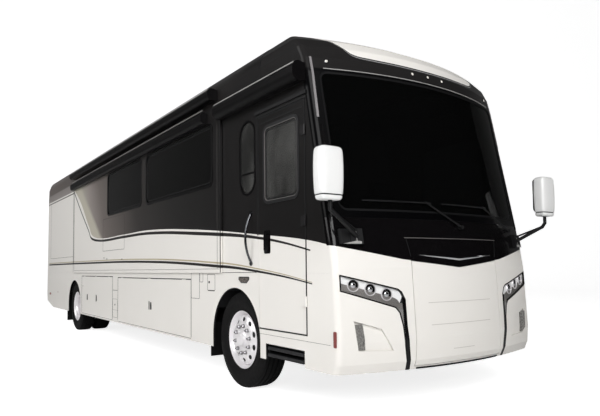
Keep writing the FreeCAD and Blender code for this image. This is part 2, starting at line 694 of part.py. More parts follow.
def pane(spec, outer_face, side):
    """One pane in its hole, set in from the outer face."""
    a, b, low, high, r = spec
    y0 = outer_face - side * pane_seat
    return side_slab(st(a) + touch, st(b) - touch, low + touch, high - touch, r,
                     *sorted((y0, y0 - side * glass_thick)))


def door_hole(y0, y1, low, high):
    """Space that the entry door needs in a panel, with its gap."""
    return box(st(door_rear) - door_gap, st(door_front) + door_gap, y0, y1, low, high)


def make_walls():
    back = rear_x + rear_cap_depth + seam
    outline = [
        (back, floor_top - 10), (st(cap_seam), floor_top - 10), (st(cap_seam), cap_seam_knee),
        (st(cap_seam_top), wall_top), (back, wall_top),
    ]
    panes = []
    for name, side in (("right", -1), ("left", 1)):
        outer, inner = side * half, side * (half - wall_thick)
        wall = side_prism(outline, *sorted((outer, inner)))
        hole_y = sorted((side * (half + 50), side * (half - 200)))
        wall = wall.cut(box(st(slide_rear), st(slide_front), *hole_y, 0, slide_top + 5))
        if side < 0:
            wall = wall.cut(door_hole(*hole_y, 0, door_top + door_gap))
            window = oval_window
        else:
            window = driver_window
        wall = wall.cut(window_hole(window, side * (half + 50), -side * 200))
        panes.append(pane(window, outer, side))
        keep(f"side_wall_{name}", wall)
    keep("cab_glass", *panes)


# bay doors: rear station, front station, top
bay_split, bay_column = -0.6 * wheelbase, 308.0
bay_doors = (
    (tyre_radius + 115.0 - wheelbase, bay_split - bay_column / 2, floor_top - 82.0),
    (bay_split + bay_column / 2, -1165.0, floor_top - 95.0),
)
bay_depth = half - skirt_thick - rail_y - 105.0
bay_sill = skirt_bottom + 25.0          # panel left under the bay doors
step_rear, step_front = door_rear + 110.0, door_front - 40.0
step_bottom, step_top = skirt_bottom + 26.0, skirt_bottom + 150.0


def arch_hole(back, front, y0, y1):
    """Wheel arch: a half ellipse over upright sides, between two stations."""
    a, mid, spring = (front - back) / 2, st((front + back) / 2), arch_top - arch_rise
    major, minor = (a, arch_rise) if a >= arch_rise else (arch_rise, a)
    ellipse = Part.Ellipse(Vector(0, 0, 0), major, minor).toShape()
    disc = Part.Face(Part.Wire([ellipse]))
    if a < arch_rise:
        disc.rotate(Vector(0, 0, 0), Vector(0, 0, 1), 90)
    disc.rotate(Vector(0, 0, 0), Vector(1, 0, 0), 90)
    disc.translate(Vector(mid, y0, spring))
    return disc.extrude(Vector(0, y1 - y0, 0)).fuse(box(mid - a, mid + a, y0, y1, 0, spring))


def departure_cut():
    """Space under the rising line behind the rear wheels."""
    x0, x1 = st(departure_station), rear_x - 100
    rise = (x0 - x1) * departure_rise
    outline = [(x0, 0), (x0, skirt_bottom), (x1, skirt_bottom + rise), (x1, 0)]
    return side_prism(outline, -beyond, beyond)


def make_skirts():
    back = rear_x + rear_cap_depth + seam
    top = floor_top - 10 - seam
    for name, side in (("right", -1), ("left", 1)):
        outer, inner = side * half, side * (half - skirt_thick)
        skirt = box(back, st(cap_seam), *sorted((outer, inner)), skirt_bottom, top)
        y0, y1 = sorted((side * (half + 60), side * (half - 120)))
        skirt = skirt.cut(arch_hole(front_arch_back, front_arch_front, y0, y1))
        skirt = skirt.cut(arch_hole(-wheelbase - rear_arch_half, -wheelbase + rear_arch_half, y0, y1))
        skirt = skirt.cut(departure_cut())
        for a, b, high in bay_doors:
            skirt = skirt.cut(box(st(a) - door_gap, st(b) + door_gap, y0, y1, bay_sill, high + door_gap))
        if side < 0:
            skirt = skirt.cut(door_hole(y0, y1, door_bottom - door_gap, door_top))
            skirt = skirt.cut(box(st(step_rear), st(step_front), y0, y1, 0, step_top))
        keep(f"skirt_{name}", skirt)
        for i, (a, b, high) in enumerate(bay_doors):
            place = ("rear", "front")[i]
            low = bay_sill + door_gap
            leaf = side_slab(st(a), st(b), low, high, 10.0, *sorted((outer, inner)))
            grip_x, grip_low, grip_high = st((a + b) / 2), bay_sill + 265.0, bay_sill + 395.0
            grip_y = sorted((outer, outer - side * 10))
            recess = side_slab(grip_x - 22, grip_x + 22, grip_low, grip_high, 20.0, *grip_y)
            pin_z, pin = high + door_gap / 2, door_gap / 2 - touch
            hinges = []
            for station in (a + 150, (a + b) / 2 - 60, b - 270):
                x = st(station)
                hinges.append(rod((x, outer, pin_z), (x + 120, outer, pin_z), pin))
                hinges.append(box(x, x + 120, *sorted((outer, outer - side * 2)), high - 1, pin_z))
            keep(f"bay_door_{name}_{place}", fused([leaf.cut(recess)] + hinges))


def make_bays():
    """Open-sided trays behind the bay doors, hung from the floor."""
    plate = 20.0
    top = floor_top - floor_thick
    rear, front = st(bay_doors[0][0]) - 60, st(bay_doors[1][1]) + 60
    divider = st(bay_split)
    low = skirt_bottom + 5
    panels = []
    for side in (-1, 1):
        y_out, y_in = side * (half - skirt_thick), side * (half - skirt_thick - bay_depth)
        y_back = y_in + side * plate
        span = sorted((y_out, y_back + side * seam))
        panels.append(box(rear, front, *sorted((y_in, y_back)), low, top))
        panels.append(box(rear, front, *span, low, low + plate))
        for x in (rear, divider - plate / 2, front - plate):
            panels.append(box(x, x + plate, *span, low + plate + seam, top))
    keep("bay_trays", *panels)


stair_rise, stair_tread, stair_plate = 180.0, 215.0, 18.0
stair_in = half - 690.0


def make_floor():
    back = rear_x + rear_cap_depth
    edge = half - wall_thick
    slab = box(back, st(bulkhead), -edge, edge, floor_top - floor_thick, floor_top)
    stair_rear, stair_front = st(step_rear) + 14, st(door_front) + 14
    well = box(stair_rear - touch, stair_front + touch, -edge - 10, -stair_in, 0, floor_top + 10)
    keep("floor", slab.cut(well))
    low, mid, top = (floor_top - k * stair_rise for k in (3, 2, 1))
    y0, y1, y2, y3 = -edge, -edge + stair_tread, -edge + 2 * stair_tread, -stair_in - touch
    t = stair_plate
    upper = [(y0, low), (y1, low), (y1, mid), (y2, mid), (y2, top), (y3, top)]
    under = [(y3, top - t), (y2 + t, top - t), (y2 + t, mid - t), (y1 + t, mid - t)]
    under += [(y1 + t, low - t), (y0, low - t)]
    profile = upper + under
    steps = end_prism(profile, stair_rear + t, stair_front - t)
    cheeks = [box(x, x + t, y0, y3, low - t, floor_top) for x in (stair_rear, stair_front - t)]
    riser = box(stair_rear + t, stair_front - t, y3 - t, y3, top - t, floor_top)
    keep("entry_stairs", fused([steps, riser] + cheeks))


def make_roof():
    x0, x1 = rear_x + rear_cap_depth + seam, st(brow_back) - seam
    crown = 26.0

    def section(inset):
        w, top, r = half - inset, roof_top - inset, roof_edge_radius - inset
        k = r * (1 - sqrt(0.5))
        p = lambda y, z: Vector(x0, y, z)
        base = wall_top - (1.0 if inset else 0.0)
        line = lambda a, b: Part.LineSegment(a, b).toShape()
        return Part.Wire([
            line(p(-w, base), p(-w, top - r)),
            Part.Arc(p(-w, top - r), p(-w + k, top - k), p(-w + r, top)).toShape(),
            Part.Arc(p(-w + r, top), p(0, top + crown), p(w - r, top)).toShape(),
            Part.Arc(p(w - r, top), p(w - k, top - k), p(w, top - r)).toShape(),
            line(p(w, top - r), p(w, base)), line(p(w, base), p(-w, base)),
        ])

    outer = Part.Face(section(0.0)).extrude(Vector(x1 - x0, 0, 0))
    inner = Part.Face(section(roof_thick)).extrude(Vector(x1 - x0, 0, 0))
    keep("roof", outer.cut(inner))
    units = []
    top = roof_top + crown
    long, wide, high, base_high, corner = 1000.0, 700.0, 250.0, 60.0, 120.0
    for station in (-0.11 * length, -0.53 * length):
        back, front = st(station), st(station) + long
        base = flat_slab(back, front, -wide / 2, wide / 2, corner, top, top + base_high)
        wires = []
        for level, inset in ((base_high, 0.0), (high * 0.75, 40.0), (high, 110.0)):
            place = lambda x, y, z=top + level: Vector(x, y, z)
            wires.append(rounded_wire(back + inset, front - inset, -wide / 2 + inset, wide / 2 - inset,
                                      corner, place))
        units.append(fused([base, Part.makeLoft(wires, True, True)]))
    vent, vent_high = 480.0, 110.0
    for station in (-0.27 * length, -0.68 * length):
        x = st(station)
        units.append(flat_slab(x, x + vent, -vent / 2, vent / 2, 60.0, top, top + vent_high))
    keep("roof_units", *units)


# ---------------------------------------------------------------- rear cap
rear_bow, rear_corner = 7000.0, 140.0
rear_sections = (      # height, how far the surface stands in from the rearmost line
    (skirt_bottom + 70, 60.0),
    (700.0, 0.0),
    (1500.0, 25.0),
    (wall_top - 80.0, 60.0),
    (roof_top - 220.0, 90.0),
    (roof_top - 60.0, 140.0),
    (roof_top, 190.0),
)
engine_door_half, engine_door_low, engine_door_high = 720.0, 640.0, 1520.0
tail_lamp_in, tail_lamp_out = half - 280.0, half - 140.0
tail_lamp_low, tail_lamp_high = 960.0, 1420.0


def rear_solid(inset=0.0):
    """The rear cap's outer form, or the same form set in by a thickness."""
    front = -rear_x - rear_cap_depth - (50.0 if inset else 0.0)
    corner = rear_corner - inset
    wires = [plan_wire(z, -rear_x - lean - inset, roof_half(z, inset), rear_bow - inset, corner, front)
             for z, lean in rear_sections]
    return Part.makeLoft(wires, True, True).mirror(Vector(0, 0, 0), Vector(1, 0, 0))


def tail_lamp(side, clearance, x0, x1):
    low, high = tail_lamp_low + clearance, tail_lamp_high - clearance
    across = sorted((side * (tail_lamp_in + clearance), side * (tail_lamp_out - clearance)))
    return end_slab(*across, low, high, 30.0, x0, x1)


def make_rear():
    outer = rear_solid()
    void = rear_solid(cap_thick).common(box(rear_x - 10, 0, -beyond, beyond, 0, roof_top - cap_thick))
    shell = outer.cut(void)
    x0, x1 = rear_x - 50, rear_x + 300
    hole = end_slab(-engine_door_half, engine_door_half, engine_door_low, engine_door_high, 60.0, x0, x1)
    cap = shell.cut(hole).cut(departure_cut())
    for side in (-1, 1):
        cap = cap.cut(tail_lamp(side, 0.0, x0, x1))
    keep("rear_cap", cap)
    skin = rear_solid(2.0).cut(rear_solid(cap_thick))
    keep("tail_lamps", *[skin.common(tail_lamp(side, touch, x0, x1)) for side in (-1, 1)])
    door = outer.cut(rear_solid(hood_thick)).common(
        end_slab(-engine_door_half + door_gap, engine_door_half - door_gap, engine_door_low + door_gap,
                 engine_door_high - door_gap, 54.0, x0, x1))
    slots, slot_height, pitch, slot_in = 9, 26.0, 58.0, 60.0
    slot_out = engine_door_half - 120.0
    for i in range(slots):
        z = engine_door_low + 220.0 + i * pitch
        for s in (-1, 1):
            slot = end_slab(*sorted((s * slot_in, s * slot_out)), z, z + slot_height, 12.0, x0, x1)
            door = door.cut(slot)
    keep("engine_door", door)


# ---------------------------------------------------------------- doors, slides, awnings
hinge_radius = 8.0


def make_entry_door():
    leaf = side_slab(st(door_rear), st(door_front), door_bottom, door_top, 30.0, -half, -half + wall_thick)
    leaf = leaf.cut(window_hole(door_window, -half - 50, 200))
    hinge_x, hinge_y = st(door_front) + door_gap / 2, -half - hinge_radius - 2
    knuckles = []
    for rise in (245.0, 945.0, 1745.0):
        low, high = door_bottom + rise, door_bottom + rise + 90.0
        knuckles.append(rod((hinge_x, hinge_y, low), (hinge_x, hinge_y, high), hinge_radius))
        knuckles.append(box(hinge_x - 60, hinge_x, hinge_y - 5, hinge_y, low, high))
        knuckles.append(box(hinge_x - 60, hinge_x - 12, hinge_y, -half, low, high))
    latch_x, pull_low, pull_high = st(door_rear + 155.0), door_bottom + 745.0, door_bottom + 910.0
    pocket = side_slab(latch_x - 45, latch_x + 45, pull_low - 15, pull_high + 15, 20.0, -half - 1, -half + 12)
    pull = side_slab(latch_x - 22, latch_x + 22, pull_low, pull_high, 18.0, -half - 22, -half + 12)
    keep("entry_door", fused([leaf.cut(pocket), pull] + knuckles))
    keep("entry_door_glass", pane(door_window, -half, -1))
    low, high, reach, tube = floor_top + 85.0, floor_top + 590.0, 62.0, 12.0
    x = st(door_rear - 145.0)
    ends = [Vector(x, -half, z) for z in (low, high)]
    bow = Part.Arc(ends[0], Vector(x - 14, -half - reach, (low + high) / 2), ends[1]).toShape()
    start = (bow.tangentAt(bow.FirstParameter)).normalize()
    ring = Part.Wire([Part.makeCircle(tube, ends[0], start)])
    bar = Part.Wire([bow]).makePipeShell([ring], True, False)
    feet = [rod(end + Vector(0, 0.5, 0), end - Vector(0, 14, 0), 22.0) for end in ends]
    outside = box(x - 200, x + 200, -half - 200, -half - touch, low - 100, high + 100)
    keep("grab_handle", fused([bar] + feet).common(outside))


def make_step():
    """Powered double step: a fixed case under the door and the treads that run out of it."""
    x0, x1 = st(step_rear) + 8, st(step_front) - 8
    y_out, y_in = -half + 4, -half + 460
    top = step_top - 6
    case = box(x0, x1, y_in, y_in + 20, step_bottom, top)
    roof_plate = box(x0, x1, y_out + 30, y_in, top - 12, top)
    cheeks = [box(x, x + 12, y_out + 30, y_in, step_bottom, top) for x in (x0, x1 - 12)]
    stair_under = floor_top - 3 * stair_rise - stair_plate
    hangers = [box(x, x + 60, -half + 90, -half + 200, top - 12, stair_under) for x in (x0 + 60, x0 + 480)]
    keep("step_case", fused([case, roof_plate] + cheeks + hangers))
    t0, t1 = x0 + 18, x1 - 18
    treads = [
        flat_slab(t0, t1, y_out, y_in - 60, 12.0, top - 50, top - 20),
        flat_slab(t0, t1, y_out, y_in - 60, 12.0, step_bottom + 4, step_bottom + 34),
    ]
    links = [box(x, x + 14, y_out + 90, y_out + 150, step_bottom + 20, top - 40) for x in (t0 + 20, t1 - 34)]
    runner_z = top - 45
    runners = [box(x0 + 12 + touch, t0 + 1, y_out + 60, y_in - 70, runner_z, runner_z + 20),
               box(t1 - 1, x1 - 12 - touch, y_out + 60, y_in - 70, runner_z, runner_z + 20)]
    keep("step_treads", fused(treads + links + runners))


def make_slides():
    for name, side in (("right", -1), ("left", 1)):
        gap = 8.0
        x0, x1 = st(slide_rear) + gap, st(slide_front) - gap
        z0, z1 = slide_bottom, slide_top - 4
        face_in = side * (half + door_gap)
        face_out = side * (half + door_gap + flange_thick)
        inner = side * (half - slide_depth)
        shell = box(x0, x1, *sorted((face_in, inner)), z0, z1)
        room = box(x0 + slide_wall, x1 - slide_wall, *sorted((side * (half - slide_wall), inner - side * 10)),
                   z0 + slide_wall, z1 - slide_wall)
        lap = flange_lap
        face = side_slab(x0 - lap, x1 + lap, z0 - 16, z1 + 18, 12.0, *sorted((face_in, face_out)))
        runners = [box(x, x + 60, *sorted((side * (half - 60), inner)), floor_top + touch, z0 + 1)
                   for x in (x0 + 300, (x0 + x1) / 2, x1 - 360)]
        body = fused([shell.cut(room), face] + runners)
        panes = []
        for spec in slide_windows:
            body = body.cut(window_hole(spec, side * (half + 100), -side * 200))
            panes.append(pane(spec, face_out, side))
        keep(f"slide_room_{name}", body)
        keep(f"slide_glass_{name}", *panes)


def awning_case(x0, x1, side, face, low, high, proud):
    """Roller case: flat back, rounded front."""
    y0, y1 = side * face, side * (face + proud)
    r = (high - low) * 0.42
    place = lambda y, z: Vector(x0, y, z)
    wire = rounded_wire(*sorted((y0, y1)), low, high, r, place)
    body = Part.Face(wire).extrude(Vector(x1 - x0, 0, 0))
    back = box(x0, x1, *sorted((y0, y0 + side * proud / 2)), low + 8, high - 8)
    return fused([body, back])


def make_awnings():
    top_out = half + door_gap + flange_thick
    rear = st(slide_rear + 30.0)
    patio = awning_case(rear, st(slide_front - 90.0), -1, half, wall_top + 48, wall_top + 182, 130.0)
    over_door = awning_case(st(slide_front + 50.0), st(door_front + 20.0), -1, half, door_top + 150,
                            wall_top - 38, 140.0)
    keep("awnings", patio, over_door)
    for name, side in (("right", -1), ("left", 1)):
        case = awning_case(rear, st(slide_front - 300.0), side, top_out, slide_top - 135, slide_top, 88.0)
        keep(f"slide_topper_{name}", case)


# ---------------------------------------------------------------- cab
def make_cab():
    dash_back = st(front_overhang - 740.0)
    front = st(front_overhang - 390.0)
    rises = ((0.0, 360.0), (0.0, 220.0), (160.0, 100.0), (200.0, 0.0))
    outline = [(dash_back + x, floor_top + rise) for x, rise in rises]
    outline += [(front, floor_top), (front, floor_top + 440), (dash_back + 120, floor_top + 490)]
    dash_half = half - 160.0
    foot_room = box(dash_back - 10, dash_back + 260, -half, -stair_in + 40, 0, floor_top + 150)
    dash = side_prism(outline, -dash_half, dash_half).cut(foot_room)
    driver_y, mate_y = half - 670.0, -stair_in + 270.0
    wheel_centre = Vector(st(front_overhang - 860.0), driver_y, floor_top + 440.0)
    lean = Vector(-0.5, 0, 0.866)
    ring_radius, column_radius, column_length = 215.0, 32.0, 260.0
    ring = Part.makeTorus(ring_radius, 16.0, wheel_centre, lean)
    column = rod(wheel_centre, wheel_centre - lean * column_length, column_radius)
    bore = rod(wheel_centre, wheel_centre - lean * (column_length + 2), column_radius + touch)
    keep("dashboard", dash.cut(bore))
    across = Vector(0, ring_radius - 10, 0)
    spoke = rod(wheel_centre - across, wheel_centre + across, 13.0)
    boss = rod(wheel_centre - lean * 20, wheel_centre + lean * 18, 60.0)
    keep("steering_wheel", fused([ring, column, boss, spoke]))
    seats = []
    for y, x in ((driver_y, st(front_overhang - 1440.0)), (mate_y, st(front_overhang - 1530.0))):
        w = 250.0
        pedestal = box(x - 140, x + 140, y - 150, y + 150, floor_top, floor_top + 250)
        cushion = flat_slab(x - 260, x + 250, y - w, y + w, 70.0, floor_top + 250, floor_top + 390)
        back = side_slab(x - 330, x - 190, floor_top + 330, floor_top + 1060, 60.0, y - w + 15, y + w - 15)
        seats.append(fused([pedestal, cushion, back]))
    keep("cab_seats", *seats)


housing_clear = 18.0        # between the steered tyre's sweep and the housing
housing_plate = 12.0
housing_folds = (150, 126, 102, 78, 54, 30)     # angles of the folds above the hub, in degrees


def make_housings():
    """Folded sheet over each wheel, hung from the floor. Every plate of a fold is flat."""
    swing = tyre_width / 2 + kingpin_inset
    plates = []
    steered = sqrt(tyre_radius ** 2 + swing ** 2) + housing_clear
    wells = (
        (0.0, steered, kingpin_y - 330.0),
        (-wheelbase, tyre_radius + 2 * housing_clear, inner_wheel_y - tyre_width / 2 - housing_clear),
    )
    for station, radius, inner in wells:
        flat = cos(radians(housing_folds[0] - housing_folds[1]) / 2)
        fold_radius = radius / flat
        gap = seam / radius / 2
        for side in (-1, 1):
            span = sorted((side * inner, side * (half - wall_thick - door_gap)))
            for rear, front in zip(housing_folds, housing_folds[1:]):
                a, b = radians(rear) - gap, radians(front) + gap
                r0, r1 = fold_radius, fold_radius + housing_plate
                outline = [(st(station) + r * cos(angle), tyre_radius + r * sin(angle))
                           for r, angle in ((r0, a), (r0, b), (r1, b), (r1, a))]
                plates.append(side_prism(outline, *span))
            crown = tyre_radius + radius + housing_plate * flat
            for x in (st(station) - 60, st(station) + 40):
                plates.append(box(x, x + 20, *span, crown, floor_top - floor_thick))
    keep("wheel_housings", *plates)


def make_flaps():
    thick = 12.0
    front_x, rear_flap_x = st(tank_front), rear_axle_x - 800
    flaps = []
    for side in (-1, 1):
        across = sorted((side * (half - 60), side * (half - 420)))
        flaps.append(box(front_x, front_x + thick, *across, 235, 620))
        across = sorted((side * (half - 40), side * (rail_y + 190)))
        flaps.append(box(rear_flap_x, rear_flap_x + thick, *across, 150, rail_top))
    keep("mud_flaps", *flaps)


builders = (
    make_frame, make_front_axle, make_rear_axle, make_powertrain, make_wheels, make_knuckles, make_front,
    make_mirrors, make_wipers, make_walls, make_skirts, make_bays, make_floor, make_roof, make_rear,
    make_entry_door, make_step, make_slides, make_awnings, make_cab, make_housings, make_flaps,
)
for build in builders:
    build()

os.makedirs("parts", exist_ok=True)
for name, shape in sorted(nodes.items()):
    shape.exportStep(f"parts/{name}.step")
    valid = all(solid.isValid() and solid.Volume > 0 for solid in shape.Solids)
    b = shape.BoundBox
    print(f"{name:22s} {len(shape.Solids)} solids, valid {valid}, "
          f"x {b.XMin:.1f} {b.XMax:.1f}, y {b.YMin:.1f} {b.YMax:.1f}, z {b.ZMin:.1f} {b.ZMax:.1f}")
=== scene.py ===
"""Looks of the motorhome. Metres, in the row frame: +X forward, +Y left, +Z up."""

import math

import bmesh
import bpy
from mathutils import Matrix, Vector
from mathutils.bvhtree import BVHTree


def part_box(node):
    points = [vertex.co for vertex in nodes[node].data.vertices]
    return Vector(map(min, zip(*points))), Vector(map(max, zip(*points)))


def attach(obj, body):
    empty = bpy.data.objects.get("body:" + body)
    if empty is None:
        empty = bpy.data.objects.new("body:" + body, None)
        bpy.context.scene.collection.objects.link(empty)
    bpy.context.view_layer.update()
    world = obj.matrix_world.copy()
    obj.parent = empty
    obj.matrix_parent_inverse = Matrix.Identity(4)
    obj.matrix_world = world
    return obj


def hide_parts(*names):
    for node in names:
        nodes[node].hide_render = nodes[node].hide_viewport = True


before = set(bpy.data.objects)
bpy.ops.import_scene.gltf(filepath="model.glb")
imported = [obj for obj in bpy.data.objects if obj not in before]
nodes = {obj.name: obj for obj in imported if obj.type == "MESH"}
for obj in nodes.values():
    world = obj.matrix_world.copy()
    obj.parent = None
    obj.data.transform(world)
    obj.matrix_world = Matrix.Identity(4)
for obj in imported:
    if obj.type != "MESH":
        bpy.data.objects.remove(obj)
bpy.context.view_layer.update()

# ---------------- places taken from the frame
low_tyre, high_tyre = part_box("front_tyre_right")
front_axle_x = (low_tyre[0] + high_tyre[0]) / 2
rear_axle_x = (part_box("rear_tyres_right")[0][0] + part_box("rear_tyres_right")[1][0]) / 2
tyre_radius = (high_tyre[2] - low_tyre[2]) / 2
tyre_width = high_tyre[1] - low_tyre[1]
half = -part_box("side_wall_right")[0][1]
slide_face = -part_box("slide_room_right")[0][1]
nose_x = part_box("front_hood")[1][0]


def st(station):
    """X of a place measured forwards from the front axle."""
    return front_axle_x + station


# ---------------- materials
def rgb(r, g, b):
    """Linear colour from an 8-bit screen colour."""
    def linear(c):
        c /= 255
        return c / 12.92 if c <= 0.04045 else ((c + 0.055) / 1.055) ** 2.4
    return (linear(r), linear(g), linear(b), 1.0)


def put(socket, value):
    """Gives an input a number or a colour, or links an output to it."""
    if isinstance(value, bpy.types.NodeSocket):
        socket.id_data.links.new(value, socket)
    else:
        socket.default_value = value


def add_node(tree, kind, mode=None, **inputs):
    """A shader node with some of its inputs given. mode is one setting and its value."""
    node = tree.nodes.new("ShaderNode" + kind)
    if mode:
        setattr(node, *mode)
    for key, value in inputs.items():
        put(node.inputs[key.replace("_", " ")], value)
    return node


class Shader:
    """One material's nodes. Inputs may be numbers, colours or sockets."""

    def __init__(self, name, **settings):
        self.material = bpy.data.materials.new(name)
        self.material.use_nodes = True
        self.tree = self.material.node_tree
        self.surface = self.tree.nodes["Principled BSDF"].inputs
        for key, value in settings.items():
            put(self.surface[key.replace("_", " ")], value)
        self.place = self.add("TexCoord").outputs["Object"]
        self.x, self.y, self.z = self.add("SeparateXYZ", Vector=self.place).outputs

    def add(self, kind, mode=None, **inputs):
        return add_node(self.tree, kind, mode, **inputs)

    def math(self, operation, a, b=0.0):
        node = self.add("Math", ("operation", operation))
        put(node.inputs[0], a)
        put(node.inputs[1], b)
        return node.outputs[0]

    def plus(self, a, b):
        return self.math("ADD", a, b)

    def less(self, a, b):
        return self.math("SUBTRACT", a, b)

    def times(self, a, b):
        return self.math("MULTIPLY", a, b)

    def above(self, a, b):
        return self.math("GREATER_THAN", a, b)

    def flip(self, a):
        return self.less(1.0, a)

    def between(self, value, low, high):
        return self.times(self.above(value, low), self.flip(self.above(value, high)))

    def off_middle(self):
        """Distance from the middle plane of the coach."""
        return self.math("ABSOLUTE", self.y)

    def fade(self, value, start, end):
        """0 before start, 1 after end."""
        return self.add("MapRange", Value=value, From_Min=start, From_Max=end).outputs["Result"]

    def mix(self, amount, a, b):
        return self.add("Mix", ("data_type", "RGBA"), Factor=amount, A=a, B=b).outputs["Result"]

    def ramp(self, value, stops):
        """Colours along a value; stops are (value, colour)."""
        low, high = stops[0][0], stops[-1][0]
        node = self.add("ValToRGB")
        put(node.inputs[0], self.fade(value, low, high))
        bar = node.color_ramp.elements
        while len(bar) < len(stops):
            bar.new(0.5)
        for element, (at, colour) in zip(bar, stops):
            element.position = (at - low) / (high - low)
            element.color = colour
        return node.outputs["Color"]

    def curve(self, value, points):
        """Height of a smooth line through (value, height) points."""
        (low, bottom), (high, top) = ([end(p[i] for p in points) for i in (0, 1)] for end in (min, max))
        node = self.add("FloatCurve", Value=self.fade(value, low, high))
        line = node.mapping.curves[0].points
        while len(line) < len(points):
            line.new(0.5, 0.5)
        for place, (a, b) in zip(line, points):
            place.location = ((a - low) / (high - low), (b - bottom) / (top - bottom))
        node.mapping.update()
        return self.plus(self.times(node.outputs[0], top - bottom), bottom)

    def noise(self, scale, detail=3.0, stretch=None):
        source = self.place
        if stretch:
            source = self.add("Mapping", Vector=source, Scale=stretch).outputs[0]
        return self.add("TexNoise", Vector=source, Scale=scale, Detail=detail).outputs["Fac"]

    def bump(self, height, strength, distance=0.001):
        node = self.add("Bump", Height=height, Strength=strength, Distance=distance)
        put(self.surface["Normal"], node.outputs[0])

    def colour(self, value):
        put(self.surface["Base Color"], value)

    def roughness(self, low, high, scale):
        """Roughness that wanders between two values."""
        put(self.surface["Roughness"], self.plus(self.times(self.noise(scale), high - low), low))


WHITE = rgb(229, 226, 221)
TAN = rgb(176, 165, 138)
INK = rgb(30, 29, 30)
DARK_STRIPE = rgb(38, 36, 36)
INSIDE = rgb(148, 134, 116)
LINER = rgb(30, 30, 31)

# Lines of the paint, as (station, height): lower edge of the dark field, and the two stripes.
PAINT_BREAK, BAND_LOW = -7.02, 2.915      # where the dark field ends and the plain band behind it begins
FIELD_EDGE = ((PAINT_BREAK, BAND_LOW), (-6.86, 2.85), (-5.75, 2.03), (-5.55, 1.885), (-5.10, 1.812),
              (-3.66, 1.80), (-2.58, 1.80), (-0.9, 1.70), (0.47, 1.565), (1.265, 1.474), (1.62, 1.405))
UPPER_STRIPE = ((PAINT_BREAK, 2.90), (-6.93, 2.82), (-5.80, 1.975), (-5.60, 1.835), (-5.10, 1.772),
                (-3.66, 1.765), (-2.58, 1.757), (-0.9, 1.657), (0.47, 1.533), (1.30, 1.385))
LOWER_STRIPE = ((-9.7, 1.385), (-6.0, 1.379), (-3.0, 1.359), (-0.36, 1.267), (0.407, 1.21), (1.32, 1.10))
FIELD_COLOURS = [(station, rgb(*colour)) for station, colour in (
    (-7.1, (176, 171, 158)), (-6.2, (168, 163, 152)), (-5.6, (140, 132, 128)), (-4.9, (102, 95, 91)),
    (-3.2, (44, 41, 40)), (-1.8, (25, 24, 24)), (-0.5, (14, 13, 14)), (0.8, (9, 8, 9)), (1.7, (6, 5, 6)),
)]


def on_axle(points):
    """Points whose stations are turned into X."""
    return [(st(a), b) for a, b in points]


def paint(name, inside_within=None, inside=INSIDE, front=False, roof=False):
    """Coach paint: pearl white below, the dark field above, and the stripes.

    Nearer the middle plane than inside_within, the inside colour shows."""
    s = Shader(name, Roughness=0.32, Specular_IOR_Level=0.15, Coat_Weight=0.22, Coat_Roughness=0.04)
    dirt = s.times(s.noise(1.7, 5.0), s.flip(s.fade(s.z, 0.35, 1.1)))
    white = s.mix(s.times(dirt, 0.16), WHITE, rgb(170, 163, 152))
    field = s.ramp(s.plus(s.x, s.times(s.less(s.z, 2.3), 0.5)), on_axle(FIELD_COLOURS))
    wedge = s.plus(s.x, s.times(s.less(s.z, 2.9), 1.36))
    field = s.mix(s.fade(wedge, st(-6.35), st(-6.55)), field, rgb(182, 177, 163))
    field = s.mix(s.times(s.noise(900.0, 1.0), 0.03), field, rgb(150, 145, 140))
    if roof:
        edge = s.ramp(s.x, on_axle(((-10.0, rgb(96, 88, 84)), (-5.0, rgb(60, 56, 54)), (0.6, rgb(19, 18, 19)))))
        colour = s.mix(s.above(s.off_middle(), half - 0.17), WHITE, edge)
    elif front:
        colour = white
    else:
        ahead = s.above(s.x, st(PAINT_BREAK))
        behind = s.flip(ahead)
        in_field = s.times(ahead, s.above(s.z, s.curve(s.x, on_axle(FIELD_EDGE))))
        band = s.ramp(s.z, ((BAND_LOW, rgb(104, 99, 96)), (2.93, rgb(138, 133, 130)),
                            (3.08, rgb(126, 120, 117))))
        colour = s.mix(in_field, white, field)
        colour = s.mix(s.times(behind, s.above(s.z, BAND_LOW)), colour, band)
        colour = s.mix(s.times(behind, s.between(s.z, 2.860, 2.884)), colour, rgb(74, 70, 68))
        narrow = s.flip(s.times(s.fade(s.x, st(-0.3), st(1.30)), 0.65))      # stripes thin out forwards
        for line, rear_end, front_end, bands in (
            (UPPER_STRIPE, PAINT_BREAK, 1.30, ((-0.022, 0.018, DARK_STRIPE),)),
            (LOWER_STRIPE, -9.62, 1.32, ((-0.02, 0.012, DARK_STRIPE), (0.024, 0.042, TAN))),
        ):
            rise = s.math("DIVIDE", s.less(s.z, s.curve(s.x, on_axle(line))), narrow)
            reach = s.between(s.x, st(rear_end), st(front_end))
            for low, high, shade in bands:
                colour = s.mix(s.times(reach, s.between(rise, low, high)), colour, shade)
        if inside_within:
            colour = s.mix(s.flip(s.above(s.off_middle(), inside_within)), colour, inside)
        if name == "body_paint":        # the entry door's hinge is dark where the paint round it is
            upper_hinge = s.times(s.above(s.off_middle(), half + 0.003), s.above(s.z, 1.4))
            colour = s.mix(upper_hinge, colour, INK)
    s.colour(colour)
    s.bump(s.noise(55.0, 2.0), 0.05, 0.0004)
    return s.material


